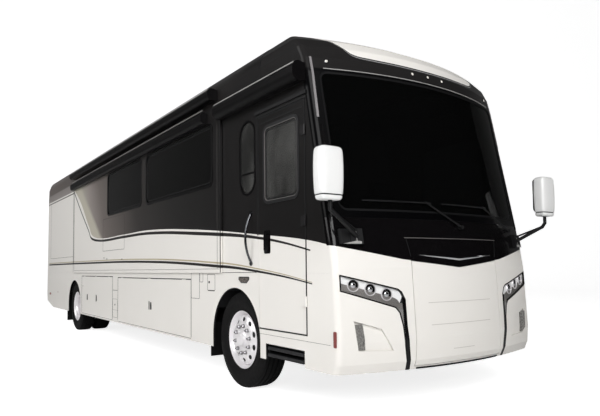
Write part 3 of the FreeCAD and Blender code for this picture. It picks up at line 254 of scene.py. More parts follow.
def surround_paint():
    """Round the windscreen: dark, with the pale brow on top."""
    s = Shader("surround_paint", Roughness=0.3, Specular_IOR_Level=0.05, Coat_Weight=0.08, Coat_Roughness=0.04)
    brow = s.curve(s.off_middle(), ((0.0, 3.135), (0.35, 3.14), (0.67, 3.15), (0.80, 3.165), (0.87, 3.21),
                                    (0.91, 3.27), (0.96, 3.33), (1.04, 3.385), (1.14, 3.43), (1.3, 3.56)))
    pale = s.above(s.z, brow)
    line = s.between(s.less(brow, s.z), 0.014, 0.022)
    dark = s.ramp(s.z, ((2.6, rgb(5, 5, 6)), (2.985, rgb(10, 10, 11)), (3.0, rgb(33, 32, 32)),
                        (3.25, rgb(35, 34, 34))))
    colour = s.mix(pale, dark, WHITE)
    s.colour(s.mix(line, colour, rgb(150, 150, 150)))
    s.bump(s.noise(55.0, 2.0), 0.05, 0.0004)
    return s.material


def plain(name, colour, rough=(0.35, 0.5), scale=30.0, bump=0.15, bump_scale=400.0, vary=0.12,
          metal=0.0, shine=0.5, coat=0.0, alpha=1.0):
    """Moulded or painted surface with a little wander in colour, gloss and grain."""
    s = Shader(name, Metallic=metal, Specular_IOR_Level=shine, Coat_Weight=coat, Alpha=alpha)
    colour = rgb(*colour)
    lighter = tuple(min(1.0, c * 1.35 + 0.002) for c in colour[:3]) + (1.0,)
    s.colour(s.mix(s.times(s.noise(scale * 0.3), vary * 2), colour, lighter))
    s.roughness(*rough, scale)
    s.bump(s.noise(bump_scale, 2.0), bump)
    return s.material


def glass(name, tint, clear, ior=1.22, painted_reflection=None):
    """Tinted pane, with lighter stripes of painted reflection where a colour is given for them."""
    s = Shader(name, Base_Color=tint, Transmission_Weight=clear, IOR=ior)
    if painted_reflection:
        s.colour(s.mix(s.fade(s.noise(1.6, 3.0, (1.6, 1.0, 0.7)), 0.42, 0.66), tint, painted_reflection))
    s.roughness(0.01, 0.03, 3.0)
    return s.material


black_gloss = plain("black_gloss", (10, 9, 10), (0.12, 0.2), 8.0, 0.03, 60.0, shine=0.15, coat=0.2)
black_plastic = plain("black_plastic", (20, 20, 21), (0.45, 0.6), 40.0, 0.3, 900.0, shine=0.2)
rubber = plain("seal_rubber", (12, 12, 13), (0.6, 0.75), 30.0, 0.3, 500.0, shine=0.15)
chassis_black = plain("chassis_black", (26, 26, 28), (0.4, 0.65), 6.0, 0.25, 200.0, shine=0.25)
cast_grey = plain("cast_grey", (92, 92, 94), (0.5, 0.7), 20.0, 0.6, 260.0)
alloy = plain("polished_alloy", (238, 235, 237), (0.26, 0.36), 14.0, 0.12, 120.0, 0.04, metal=0.4)
chrome = plain("chrome", (214, 215, 218), (0.05, 0.1), 10.0, 0.02, 60.0, 0.03, metal=1.0)
nut_chrome = plain("nut_chrome", (132, 131, 133), (0.16, 0.26), 10.0, 0.02, 60.0, 0.03, metal=1.0)
dark_chrome = plain("dark_chrome", (86, 87, 90), (0.12, 0.22), 10.0, 0.02, 60.0, 0.05, metal=1.0)
awning_black = plain("awning_black", (10, 9, 10), (0.3, 0.45), 12.0, 0.12, 300.0, shine=0.08)
white_shell = plain("white_shell", (233, 233, 232), (0.28, 0.4), 8.0, 0.05, 80.0, 0.03, coat=0.5)
board = plain("floor_board", (122, 98, 72), (0.4, 0.55), 6.0, 0.2, 80.0)
leather = plain("seat_leather", (150, 132, 108), (0.45, 0.6), 30.0, 0.5, 240.0)
dash_vinyl = plain("dash_vinyl", (34, 33, 34), (0.5, 0.65), 30.0, 0.5, 500.0)
red_lens = plain("red_lens", (150, 22, 20), (0.1, 0.2), 20.0, 0.1, 200.0, coat=0.6)
screen_glass = glass("screen_glass", rgb(52, 53, 53), 0.95, 1.12)
side_glass = glass("side_glass", rgb(26, 26, 26), 0.6)
# Door panes: a lighter tint than the side glass plus lighter stripes, painted light standing for the lit inside and
# reflections seen in them.
door_glass = glass("door_glass", rgb(62, 62, 61), 0.6, painted_reflection=rgb(108, 108, 106))
lens_glass = plain("lens_glass", (70, 70, 70), (0.02, 0.04), 3.0, 0.0, 60.0, 0.01, alpha=0.1)
mirror_glass = plain("mirror_glass", (200, 204, 208), (0.02, 0.04), 10.0, 0.0, 60.0, 0.01, metal=1.0)


def tyre_rubber():
    s = Shader("tyre_rubber", Specular_IOR_Level=0.12)
    s.colour(s.mix(s.times(s.noise(14.0, 4.0), 0.5), rgb(9, 9, 10), rgb(24, 23, 23)))
    s.roughness(0.6, 0.85, 20.0)
    s.bump(s.noise(500.0, 3.0), 0.35)
    return s.material


tyre_black = tyre_rubber()
lamp_white = plain("lamp_reflector", (250, 250, 250), (0.15, 0.25), 20.0, 0.05, 100.0, 0.03)
lamp_grey = plain("lamp_grey", (126, 124, 121), (0.2, 0.35), 60.0, 0.2, 300.0, metal=0.3)
trim_grey = plain("trim_grey", (150, 149, 147), (0.35, 0.5), 20.0, 0.1, 200.0)
# pillar grey: trim colour that also carries painted highlight of the pillar's rounded corner
pillar_grey_painted_highlight = plain("pillar_grey_painted_highlight", (116, 113, 114), (0.35, 0.5), 20.0, 0.1, 200.0)
# grey of the hood creases: painted shade
painted_crease_shade = plain("painted_crease_shade", (186, 182, 176), (0.3, 0.4), 20.0, 0.05, 100.0, 0.04)
seam_dark = plain("seam_dark", (58, 56, 55), (0.6, 0.75), 20.0, 0.1, 200.0)
dull_red = plain("dull_red_lens", (120, 50, 46), (0.25, 0.4), 30.0, 0.2, 300.0)
marker_grey = plain("marker_grey", (88, 82, 78), (0.2, 0.35), 60.0, 0.4, 300.0)
dark_sash = plain("window_sash", (26, 26, 27), (0.3, 0.42), 14.0, 0.05, 150.0, shine=0.3)
line_grey = plain("line_grey", (92, 89, 88), (0.35, 0.5), 14.0, 0.05, 150.0)
marker_lens = plain("marker_lens", (226, 222, 214), (0.08, 0.15), 30.0, 0.1, 200.0, 0.05, coat=0.6)


def mesh_metal():
    """Fine dark mesh of the lamp's apron."""
    s = Shader("lamp_mesh", Metallic=0.6, Roughness=0.35)
    grid = s.times(*(s.above(s.math("SINE", s.times(place, 900.0)), 0.1) for place in (s.y, s.z)))
    s.colour(s.mix(grid, rgb(158, 154, 151), rgb(74, 70, 69)))
    s.bump(grid, 0.4)
    return s.material


lamp_mesh = mesh_metal()

SIDES = (("right", -1), ("left", 1))


def both_sides(*names):
    """Names of nodes, with each side in the place of the braces."""
    return tuple(name.format(side) for name in names for side, _ in SIDES)


node_materials = {}
for material, names in (
    (paint("body_paint", half - 0.02), both_sides("side_wall_{}") + ("rear_cap", "engine_door", "entry_door")),
    (paint("skirt_paint", half - 0.004, LINER), both_sides("skirt_{}", "bay_door_{}_rear", "bay_door_{}_front")),
    (paint("slide_paint", half - 0.038), both_sides("slide_room_{}")),
    (paint("front_paint", front=True), ("front_cap", "front_hood")),
    (paint("roof_paint", roof=True), ("roof",)),
    (surround_paint(), ("windscreen_surround",)),
    (black_gloss, ("front_band",)),
    (white_shell, ("roof_units", "mirror_heads")),
    (black_plastic, ("mirror_arms", "wipers", "bay_trays", "step_case", "fuel_tank")),
    (awning_black, ("awnings",) + both_sides("slide_topper_{}")),
    (screen_glass, ("windscreen",)),
    (side_glass, both_sides("slide_glass_{}")),
    (door_glass, ("cab_glass", "entry_door_glass")),
    (lens_glass, ("headlamps",)),
    (red_lens, ("tail_lamps",)),
    (alloy, both_sides("front_wheel_{}", "rear_wheels_{}")),
    (tyre_black, both_sides("front_tyre_{}", "rear_tyres_{}")),
    (chassis_black, ("chassis_frame", "front_axle", "rear_axle", "tie_rod", "exhaust", "step_treads",
                     "wheel_housings")),
    (dark_chrome, ("grab_handle",)),
    (cast_grey, ("powertrain",) + both_sides("knuckle_{}")),
    (rubber, ("mud_flaps",)),
    (board, ("floor", "entry_stairs")),
    (leather, ("cab_seats",)),
    (dash_vinyl, ("dashboard", "steering_wheel")),
):
    node_materials.update((name, material) for name in names)
for name, node in nodes.items():
    node.data.materials.clear()
    node.data.materials.append(node_materials[name])


# ---------------- mesh makers
def piece(name, bm, material, body="coach", angle=35.0):
    """A mesh object made from a bmesh, riding on a body."""
    bmesh.ops.remove_doubles(bm, verts=bm.verts, dist=1e-6)
    bmesh.ops.recalc_face_normals(bm, faces=bm.faces)
    mesh = bpy.data.meshes.new(name)
    bm.to_mesh(mesh)
    bm.free()
    obj = bpy.data.objects.new(name, mesh)
    bpy.context.scene.collection.objects.link(obj)
    mesh.materials.append(material)
    mesh.shade_smooth()
    mesh.set_sharp_from_angle(angle=math.radians(angle))
    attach(obj, body)
    return obj


def single(name, material, maker, *given, slot="black_plastic", body="coach", angle=35.0, **more):
    """A piece that one call of a mesh maker makes."""
    bm = bmesh.new()
    maker(bm, *given, **more)
    return piece(name, bm, material, body, angle)


def turns(count):
    """Angles that share out a full turn."""
    return [2 * math.pi * i / count for i in range(count)]


def pairs(items, closed=False):
    """Neighbours in a row, the last with the first where it closes."""
    return zip(items, items[1:] + items[:1] if closed else items[1:])


def weave(bm, rows, closed=False, rings=False, flip=False):
    """Quads between rows of vertices. The last row may join the first, and each may be a ring."""
    for p, q in pairs(rows, closed):
        for (a, b), (c, d) in zip(pairs(p, rings), pairs(q, rings)):
            bm.faces.new((a, c, d, b) if flip else (a, b, d, c))


def turned(bm, profile, centre, segments, reshape):
    """Revolves (y, radius) points about a line along Y. reshape(i, k, radius) gives each radius."""
    rings = []
    for i, angle in enumerate(turns(segments)):
        c, s = math.cos(angle), math.sin(angle)
        ring = [(y, reshape(i, k, radius)) for k, (y, radius) in enumerate(profile)]
        rings.append([bm.verts.new((centre[0] + r * c, centre[1] + y, centre[2] + r * s)) for y, r in ring])
    weave(bm, rings, closed=True)


# ---------------- tyres
TREAD_STEPS = 192


def tyre_profile():
    """Section of a highway tyre with four grooves, as (across, radius) points from bead to bead."""
    w, r = tyre_width / 2, tyre_radius
    section = [(0.1005, 0.288), (0.1005, 0.300), (0.120, 0.302), (0.124, 0.318), (0.1225, 0.326), (0.129, 0.345),
               (0.1345, 0.372), (w, r - 0.105), (0.1372, r - 0.088), (0.1355, r - 0.082), (0.1355, r - 0.068),
               (0.1335, r - 0.060), (0.129, r - 0.040), (0.124, r - 0.022), (0.114, r - 0.008)]
    groove, depth = 0.0055, 0.013
    crown = lambda y: r - 0.004 * (y / w) ** 2
    for middle in (0.079, 0.026):
        for across, down in ((groove + 0.0015, 0.0), (groove, 0.002), (groove * 0.6, depth)):
            section.append((middle + across, crown(middle) - down))
        for across, down in ((groove * 0.6, depth), (groove, 0.002), (groove + 0.0015, 0.0)):
            section.append((middle - across, crown(middle) - down))
    return [(-y, radius) for y, radius in section] + section[::-1]


def make_tyres():
    profile = tyre_profile()
    shoulder = [k for k, (y, radius) in enumerate(profile) if abs(y) > 0.12 and tyre_radius - 0.045 < radius]

    def lugs(i, k, radius):
        """A shallow notch across the shoulders at every fourth step."""
        return radius - 0.006 if k in shoulder and i % 4 == 0 else radius

    for side, _ in SIDES:
        for end, tyre, wheel in (("front", "front_tyre", "front_wheel"), ("rear", "rear_tyres", "rear_wheels")):
            low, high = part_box(f"{tyre}_{side}")
            middles = [(low[1] + high[1]) / 2]
            if end == "rear":
                middles = [low[1] + tyre_width / 2, high[1] - tyre_width / 2]
            bm = bmesh.new()
            for y in middles:
                turned(bm, profile, ((low[0] + high[0]) / 2, y, tyre_radius), TREAD_STEPS, lugs)
            obj = piece(f"{end}_tread_{side}", bm, tyre_black, f"{wheel}_{side}", 40.0)
            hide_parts(f"{tyre}_{side}")


make_tyres()


# ---------------- surfaces to build on
def tree_of(*names):
    """Ray-casting tree of CAD nodes."""
    verts, faces = [], []
    for name in names:
        mesh = nodes[name].data
        start = len(verts)
        verts += [v.co[:] for v in mesh.vertices]
        faces += [tuple(start + i for i in p.vertices) for p in mesh.polygons]
    return BVHTree.FromPolygons(verts, faces)


front_tree = tree_of("front_cap", "front_hood", "front_band", "headlamps", "windscreen_surround", "windscreen")
rear_tree = tree_of("rear_cap", "engine_door", "tail_lamps")


NO_HIT, TOO_DEEP = 1.6, 0.9                 # stations: taken where no ray hits, and behind which a hit is inside


def front_x(y, z):
    """X of the bowed front at a place across and up. A ray that slips through a gap is tried beside it."""
    for reach in (0.0, 0.004, -0.004, 0.009, -0.009):
        hit = front_tree.ray_cast(Vector((nose_x + 2, y, z + reach)), Vector((-1, 0, 0)))[0]
        if hit is not None and hit.x > st(TOO_DEEP):
            return hit.x
    return st(NO_HIT)


def rear_x(y, z):
    """X of the rear at a place across and up."""
    hit = rear_tree.ray_cast(Vector((-nose_x - 2, y, z)), Vector((1, 0, 0)))[0]
    return hit.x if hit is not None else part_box("rear_cap")[0][0]


# Mappings take two places on a surface and a distance out of it.
FRONT = lambda y, z, out: (front_x(y, z) + out, y, z)
REAR = lambda y, z, out: (rear_x(y, z) - out, y, z)


def side_face(side, face=half):
    """Mapping (station, height, out) on a flat side."""
    return lambda a, b, out: (st(a), side * (face + out), b)


def rounded(a0, b0, a1, b1, radius, steps=6):
    """Outline of a rounded rectangle."""
    points = []
    for ca, cb, start in ((a1 - radius, b0 + radius, -90), (a1 - radius, b1 - radius, 0),
                          (a0 + radius, b1 - radius, 90), (a0 + radius, b0 + radius, 180)):
        for i in range(steps + 1):
            angle = math.radians(start + 90 * i / steps)
            points.append((ca + radius * math.cos(angle), cb + radius * math.sin(angle)))
    return points


def offset_point(before, here, after, distance):
    """The corner moved sideways by a distance, mitred."""
    def normal(p, q):
        d = math.hypot(q[0] - p[0], q[1] - p[1]) or 1.0
        return ((p[1] - q[1]) / d, (q[0] - p[0]) / d)
    n1 = normal(before, here) if before else normal(here, after)
    n2 = normal(here, after) if after else n1
    total = (n1[0] + n2[0], n1[1] + n2[1])
    size = max(total[0] ** 2 + total[1] ** 2, 0.6)
    return (here[0] + 2 * distance * total[0] / size, here[1] + 2 * distance * total[1] / size)


def split(points, closed, pitch):
    """The same line with no stretch longer than the pitch."""
    out = []
    for p, q in pairs(points, closed):
        steps = max(1, math.ceil(math.hypot(q[0] - p[0], q[1] - p[1]) / pitch))
        out += [(p[0] + (q[0] - p[0]) * i / steps, p[1] + (q[1] - p[1]) * i / steps) for i in range(steps)]
    return out if closed else out + [points[-1]]


def with_neighbours(points, closed):
    """Each point between the one before and the one after it, with None past an open end."""
    last = len(points) - 1
    for i, here in enumerate(points):
        yield (points[i - 1] if closed or i else None, here,
               points[(i + 1) % (last + 1)] if closed or i < last else None)


def ribbon(bm, points, mapping, width, thick, closed=False, sink=0.004, pitch=0.12):
    """A flat bead along a line on a surface, standing proud by its thickness.

    The width is how far it goes to each side of the line, or (left, right)."""
    edges = width if isinstance(width, tuple) else (-width, width)
    rows = []
    for three in with_neighbours(split(points, closed, pitch), closed):
        a, b = (offset_point(*three, edge) for edge in edges)
        section = ((a, -sink), (a, thick), (b, thick), (b, -sink))
        rows.append([bm.verts.new(mapping(*place, out)) for place, out in section])
    weave(bm, rows, closed, flip=True)
    if not closed:
        bm.faces.new(rows[0])
        bm.faces.new(reversed(rows[-1]))


def plate(bm, points, mapping, thick, sink=0.004, bevel=0.0):
    """A plate with a given outline on a surface, its rim drawn in by the bevel."""
    loops = []
    for out, inset in ((-sink, 0.0), (thick - bevel, 0.0), (thick, bevel)):
        places = [offset_point(*three, inset) for three in with_neighbours(points, True)]
        loops.append([bm.verts.new(mapping(*place, out)) for place in places])
    weave(bm, loops, rings=True)
    bm.faces.new(loops[-1])
    bm.faces.new(reversed(loops[0]))


def dome(bm, centre, axis, profile, segments=28):
    """Revolves (along, radius) points about an axis through a centre."""
    axis = Vector(axis).normalized()
    side = axis.orthogonal().normalized()
    up = axis.cross(side)
    rings = []
    for angle in turns(segments):
        arm = math.cos(angle) * side + math.sin(angle) * up
        rings.append([bm.verts.new(Vector(centre) + axis * a + arm * max(r, 1e-5)) for a, r in profile])
    weave(bm, rings, closed=True)


def tube(bm, path, radius, segments=10):
    """A round bar along a path of points."""
    path = [Vector(p) for p in path]
    up = Vector((0.31, 0.17, 0.93))
    rings = []
    for before, p, after in zip(path[:1] + path, path, path[1:] + path[-1:]):
        along = (after - before).normalized()
        side = along.cross(up).normalized()
        over = side.cross(along)
        arms = [math.cos(t) * side + math.sin(t) * over for t in turns(segments)]
        rings.append([bm.verts.new(p + radius * arm) for arm in arms])
    weave(bm, rings, rings=True)
    bm.faces.new(reversed(rings[0]))
    bm.faces.new(rings[-1])


# ---------------- wheels
LIP = 0.116                                 # from the middle of a rim to its edge
DISC_RIM, DISC_HUB = 0.247, 0.172           # radii between which the disc is pierced
HAND_HOLES, HOLE_RADIUS = 10, 0.2095
LUGS, LUG_RING = 10, 0.1425


def polished_wheel(bm, shade, x, y, out, face, dish, hub_face, hub_radius, cap_radius, cap_out):
    """Forged wheel seen from outside. Distances run outwards along Y from the wheel's middle plane."""
    centre, axis, segments = (x, y, tyre_radius), (0, out, 0), HAND_HOLES * 16

    def corner(along, radius, angle):
        return bm.verts.new((x + radius * math.cos(angle), y + out * along, tyre_radius + radius * math.sin(angle)))

    def dished(radius):
        return dish + (face - dish) * min(1.0, (DISC_RIM - radius) / 0.06) ** 0.75

    flange = ((0.0, 0.298), (0.004, 0.301), (0.013, 0.299), (0.016, 0.284), (0.05, 0.281), (0.07, 0.25))
    well = ((0.002, 0.29), (0.012, 0.283), (0.022, 0.272), (0.05, 0.262))
    barrel = [(d - LIP, r) for d, r in flange] + [(LIP - d, r) for d, r in flange[::-1] + well]
    barrel += [(dish + 0.012, 0.254), (dish, DISC_RIM)]
    weave(bm, [[corner(a, r, t) for t in turns(segments)] for a, r in barrel], rings=True, flip=True)
    hole_long, hole_wide, around = 0.031, 0.0215, 32
    middle_radius, reach = (DISC_RIM + DISC_HUB) / 2, (DISC_RIM - DISC_HUB) / 2
    for h in range(HAND_HOLES):
        middle = 2 * math.pi * (h + 0.5) / HAND_HOLES
        loops = []
        for depth, grow in ((-0.011, 1.0), (-0.004, 1.0), (0.0, 1.08), (0.001, 1.2)):
            loop = []
            for t in turns(around):
                radius = HOLE_RADIUS + hole_wide * grow * math.sin(t)
                angle = middle + hole_long * grow * math.cos(t) / HOLE_RADIUS
                loop.append(corner(dished(radius) + depth, radius, angle))
            loops.append(loop)
        border = []
        for t in turns(around):
            c, s = math.cos(t), math.sin(t)
            square = 1 / max(abs(c), abs(s))
            radius = middle_radius + reach * s * square
            border.append(corner(dished(radius), radius, middle + math.pi / HAND_HOLES * c * square))
        weave(bm, loops + [border], rings=True)
    disc = [(dished(DISC_HUB), DISC_HUB), (face + 0.001, 0.165), (face, 0.15),
            (face - 0.001, hub_radius + 0.004), (face + 0.004, hub_radius),
            (hub_face - 0.012, hub_radius - 0.004), (hub_face - 0.003, hub_radius - 0.012),
            (hub_face, hub_radius - 0.02), (hub_face, cap_radius + 0.006), (hub_face + 0.004, cap_radius),
            (cap_out - 0.012, cap_radius - 0.003), (cap_out - 0.003, cap_radius - 0.012),
            (cap_out, cap_radius - 0.026), (cap_out, 0.0)]
    dome(bm, centre, axis, disc, segments)
    # A black dish behind the hand holes: painted shade seen through them.
    behind = [(dished(r) - 0.0105, r) for r in (0.236, 0.222, HOLE_RADIUS, 0.196, 0.183)]
    dome(shade, centre, axis, behind, segments)


def lug_nuts(bm, x, y, out, face):
    """A ring of nuts on the face of a disc."""
    for i in range(LUGS):
        angle = 2 * math.pi * (i + 0.25) / LUGS
        centre = (x + LUG_RING * math.cos(angle), y, tyre_radius + LUG_RING * math.sin(angle))
        for corners, profile in (
            (20, ((-0.01, 0.021), (0.004, 0.021), (0.006, 0.0175))),                     # washer
            (6, ((0.0, 0.0175), (0.022, 0.0175), (0.027, 0.014), (0.028, 0.009))),       # nut
            (14, ((0.02, 0.0095), (0.036, 0.0095), (0.038, 0.007), (0.038, 0.0))),       # stud
        ):
            dome(bm, centre, (0, out, 0), [(face + a, r) for a, r in profile], corners)


def wheel_pieces(bm, shade, end, plural, name, x, y, side, face):
    """The polished wheel in the place of the plain one, its nuts, and a black dish of painted shade behind its hand
    holes.
    """
    body = f"{end}_wheel{plural}_{name}"
    wheel = piece(f"{end}_rim{plural}_{name}", bm, alloy, body, 30.0)
    single(f"{end}_nuts_{name}", nut_chrome, lug_nuts, x, y, side, face, slot="polished_alloy", body=body, angle=30.0)
    piece(f"{end}_hand_hole_shade_{name}", shade, chassis_black, body, 30.0)
    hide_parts(body)


def make_wheels():
    for name, side in SIDES:
        low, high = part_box(f"front_tyre_{name}")
        y = (low[1] + high[1]) / 2
        bm, shade = bmesh.new(), bmesh.new()
        polished_wheel(bm, shade, front_axle_x, y, side, face=0.112, dish=0.084, hub_face=0.124, hub_radius=0.092,
                       cap_radius=0.07, cap_out=0.162)
        wheel_pieces(bm, shade, "front", "", name, front_axle_x, y, side, 0.113)
        low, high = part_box(f"rear_tyres_{name}")
        outer, inner = (low[1] + tyre_width / 2, high[1] - tyre_width / 2)[::-side]
        disc = 0.016 - abs(outer - inner) / 2       # the two wheels are bolted together between the tyres
        rear = {"face": disc, "dish": -0.075, "hub_face": disc + 0.03, "hub_radius": 0.115}
        bm, shade = bmesh.new(), bmesh.new()
        polished_wheel(bm, shade, rear_axle_x, outer, side, cap_radius=0.092, cap_out=0.03, **rear)
        dome(bm, (rear_axle_x, outer, tyre_radius), (0, side, 0),
             [(0.028, 0.06), (0.058, 0.058), (0.062, 0.05), (0.062, 0.0)], 40)
        polished_wheel(bm, shade, rear_axle_x, inner, -side, cap_radius=0.09, cap_out=0.02, **rear)
        wheel_pieces(bm, shade, "rear", "s", name, rear_axle_x, outer, side, disc + 0.001)


make_wheels()


# ---------------- headlamps
# The left lamp in (y, z): edges of its wide part, the outline of all of it, its projectors and its strip.
LAMP_TOP = ((1.244, 1.166), (0.735, 1.044), (0.702, 1.02), (0.684, 0.985))
LAMP_LOW = ((1.244, 1.048), (0.80, 0.914), (0.765, 0.90), (0.735, 0.87))
LAMP_RIM = ((1.249, 1.171), (0.735, 1.049), (0.70, 1.025), (0.668, 0.962), (0.664, 0.744), (0.650, 0.582),
            (0.625, 0.375), (0.656, 0.375), (0.687, 0.582), (0.701, 0.746), (0.727, 0.852), (0.765, 0.898),
            (1.249, 1.044))
PROJECTORS = ((1.13, 1.088), (0.982, 1.052), (0.833, 1.008))
STRIP = ((0.683, 0.96), (0.679, 0.85), (0.678, 0.744), (0.665, 0.582), (0.638, 0.382))
STRIP_MESH = ((0.668, 0.93), (0.665, 0.744), (0.652, 0.60), (0.685, 0.60), (0.700, 0.746), (0.726, 0.852),
              (0.760, 0.892), (0.73, 0.93))
# Sections of a projector, in (out, radius).
PROJECTOR_RING = ((-0.012, 0.0555), (0.010, 0.055), (0.0145, 0.052), (0.014, 0.047), (0.006, 0.045))
PROJECTOR_WELL = ((0.006, 0.0455), (0.002, 0.042), (0.002, 0.026), (-0.004, 0.024))
PROJECTOR_BULB = ((-0.008, 0.027), (0.002, 0.0265), (0.008, 0.023), (0.012, 0.017), (0.0145, 0.009), (0.015, 0.0))


def across(side, points):
    """(y, z) points of the left half, put on the side of a sign."""
    return [(side * y, z) for y, z in points]


def along(points, t):
    """Point a share of the way along a line of points."""
    sizes = [math.dist(p, q) for p, q in pairs(points)]
    reach = t * sum(sizes)
    for (p, q), size in zip(pairs(points), sizes):
        if reach <= size or q is points[-1]:
            share = min(1.0, reach / size)
            return tuple(a + (b - a) * share for a, b in zip(p, q))
        reach -= size


def along_height(points, z):
    """How far across a line of points lies at a height."""
    for (y0, z0), (y1, z1) in pairs(points):
        if min(z0, z1) <= z <= max(z0, z1):
            return y0 + (y1 - y0) * (z - z0) / (z1 - z0)
    return points[0][0] if abs(points[0][1] - z) < abs(points[-1][1] - z) else points[-1][0]


def lamp_sheet(bm, side, out, v0, v1, columns=26, rows=6):
    """A sheet across the wide lamp between two shares of its height, set in or out of its face."""
    grid = []
    for i in range(columns + 1):
        top, low = along(LAMP_TOP, i / columns), along(LAMP_LOW, i / columns)
        row = []
        for k in range(rows + 1):
            v = v0 + (v1 - v0) * k / rows
            y, z = low[0] + (top[0] - low[0]) * v, low[1] + (top[1] - low[1]) * v
            row.append(bm.verts.new(lamp_face(side * y, z, out)))
        grid.append(row)
    weave(bm, grid, flip=True)


def lamp_face(y, z, out):
    """The bowed face that the headlamps follow, without the wells in them."""
    bow = 4.2
    setbacks = ((0.35, 0.053), (0.45, 0.012), (0.62, 0.0), (1.23, 0.035))
    setback = 0.0
    for (z0, s0), (z1, s1) in pairs(setbacks):
        if z0 <= z <= z1:
            setback = s0 + (s1 - s0) * (z - z0) / (z1 - z0)
    return nose_x - setback - bow + math.sqrt(bow * bow - y * y) + out, y, z


def front_normal(y, z, face=FRONT):
    """Which way the front faces at a place."""
    a, b, c = Vector(face(y, z, 0)), Vector(face(y + 0.03, z, 0)), Vector(face(y, z + 0.03, 0))
    normal = (b - a).cross(c - a).normalized()
    return normal if normal.x > 0 else -normal


def make_honeycomb(bm, side):
    """Small cells between the strip and the outer rim below the wide lamp."""
    cell, pitch_y, pitch_z, top = 0.0056, 0.0098, 0.0085, 0.872
    for k in range(24):
        z = top - k * pitch_z
        inner = along_height(STRIP, z) + 0.019
        outer = along_height(LAMP_RIM[9:12], z) - 0.009
        for c in range(max(0, int((outer - inner) / pitch_y) + 1)):
            y = inner + (c + (0.5 if k % 2 else 0.0)) * pitch_y
            angles = [math.radians(60 * i + 30) for i in range(6)]
            corners = [(side * y + cell * math.cos(t), z + cell * math.sin(t)) for t in angles]
            ribbon(bm, corners, lamp_face, 0.0008, 0.0, closed=True, pitch=1.0)


def make_headlamps():
    for name, side in SIDES:
        single(f"headlamp_bezel_{name}", black_gloss, ribbon, across(side, LAMP_RIM), lamp_face,
               0.005, 0.003, closed=True, sink=0.034, pitch=0.05)
        single(f"headlamp_reflector_{name}", lamp_white, lamp_sheet, side, -0.018, 0.46, 1.0, slot="polished_alloy")
        single(f"headlamp_apron_{name}", lamp_mesh, lamp_sheet, side, -0.012, 0.0, 0.50)
        rings, wells, bulbs = bmesh.new(), bmesh.new(), bmesh.new()
        for y, z in PROJECTORS:
            place = lamp_face(side * y, z, -0.02), front_normal(side * y, z, lamp_face)
            dome(rings, *place, PROJECTOR_RING, 40)
            dome(wells, *place, PROJECTOR_WELL, 36)
            dome(bulbs, *place, PROJECTOR_BULB, 32)
        piece(f"headlamp_rings_{name}", rings, alloy, angle=30.0)
        piece(f"headlamp_wells_{name}", wells, black_gloss, angle=30.0)
        piece(f"headlamp_projectors_{name}", bulbs, chrome, angle=60.0)
        lens = single(f"headlamp_lens_{name}", lens_glass, lamp_sheet, side, -0.001, 0.0, 1.0, slot="lamp_clear")
        single(f"lamp_strip_mesh_{name}", lamp_mesh, plate, across(side, STRIP_MESH)[::side],
               lamp_face, -0.003, sink=0.02)
        single(f"lamp_strip_{name}", black_gloss, ribbon, across(side, STRIP), lamp_face,
               0.0125, 0.0015, sink=0.01, pitch=0.04)
        single(f"lamp_honeycomb_{name}", trim_grey, make_honeycomb, side, slot="polished_alloy")
    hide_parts("headlamps")


# ---------------- front
MARKER_PLACES = ((-1.10, 3.062), (-0.205, 3.062), (0.0, 3.065), (0.205, 3.062), (1.10, 3.062))
CORNER_LAMP = ((1.144, 0.772), (1.135, 0.66), (1.128, 0.61), (1.106, 0.567), (1.056, 0.567), (1.060, 0.66),
               (1.074, 0.772))
FOOT = 1.133                                # how far across a mirror's foot stands


def chevron(bm):
    """The bright bar below the dark band, deeper towards the middle."""
    upper = [(-0.483, 1.3405), (0.0, 1.318), (0.483, 1.3405)]
    lower = [(-0.483, 1.3335), (0.0, 1.289), (0.483, 1.3335)]
    steps, rows = 24, []
    for i in range(steps + 1):
        a, b = along(upper, i / steps), along(lower, i / steps)
        middle = ((a[0] + b[0]) / 2, (a[1] + b[1]) / 2)
        section = ((a, -0.004), (a, 0.003), (middle, 0.009), (b, 0.003), (b, -0.004))
        rows.append([bm.verts.new(FRONT(*p, out)) for p, out in section])
    weave(bm, rows, flip=True)


def front_lines(bm, lines, width, thick, pitch=0.05):
    for line in lines:
        ribbon(bm, line, FRONT, width, thick, pitch=pitch)


def marker_domes(bm, profile):
    for y, z in MARKER_PLACES:
        dome(bm, FRONT(y, z, -0.004), front_normal(y, z), profile, 28)


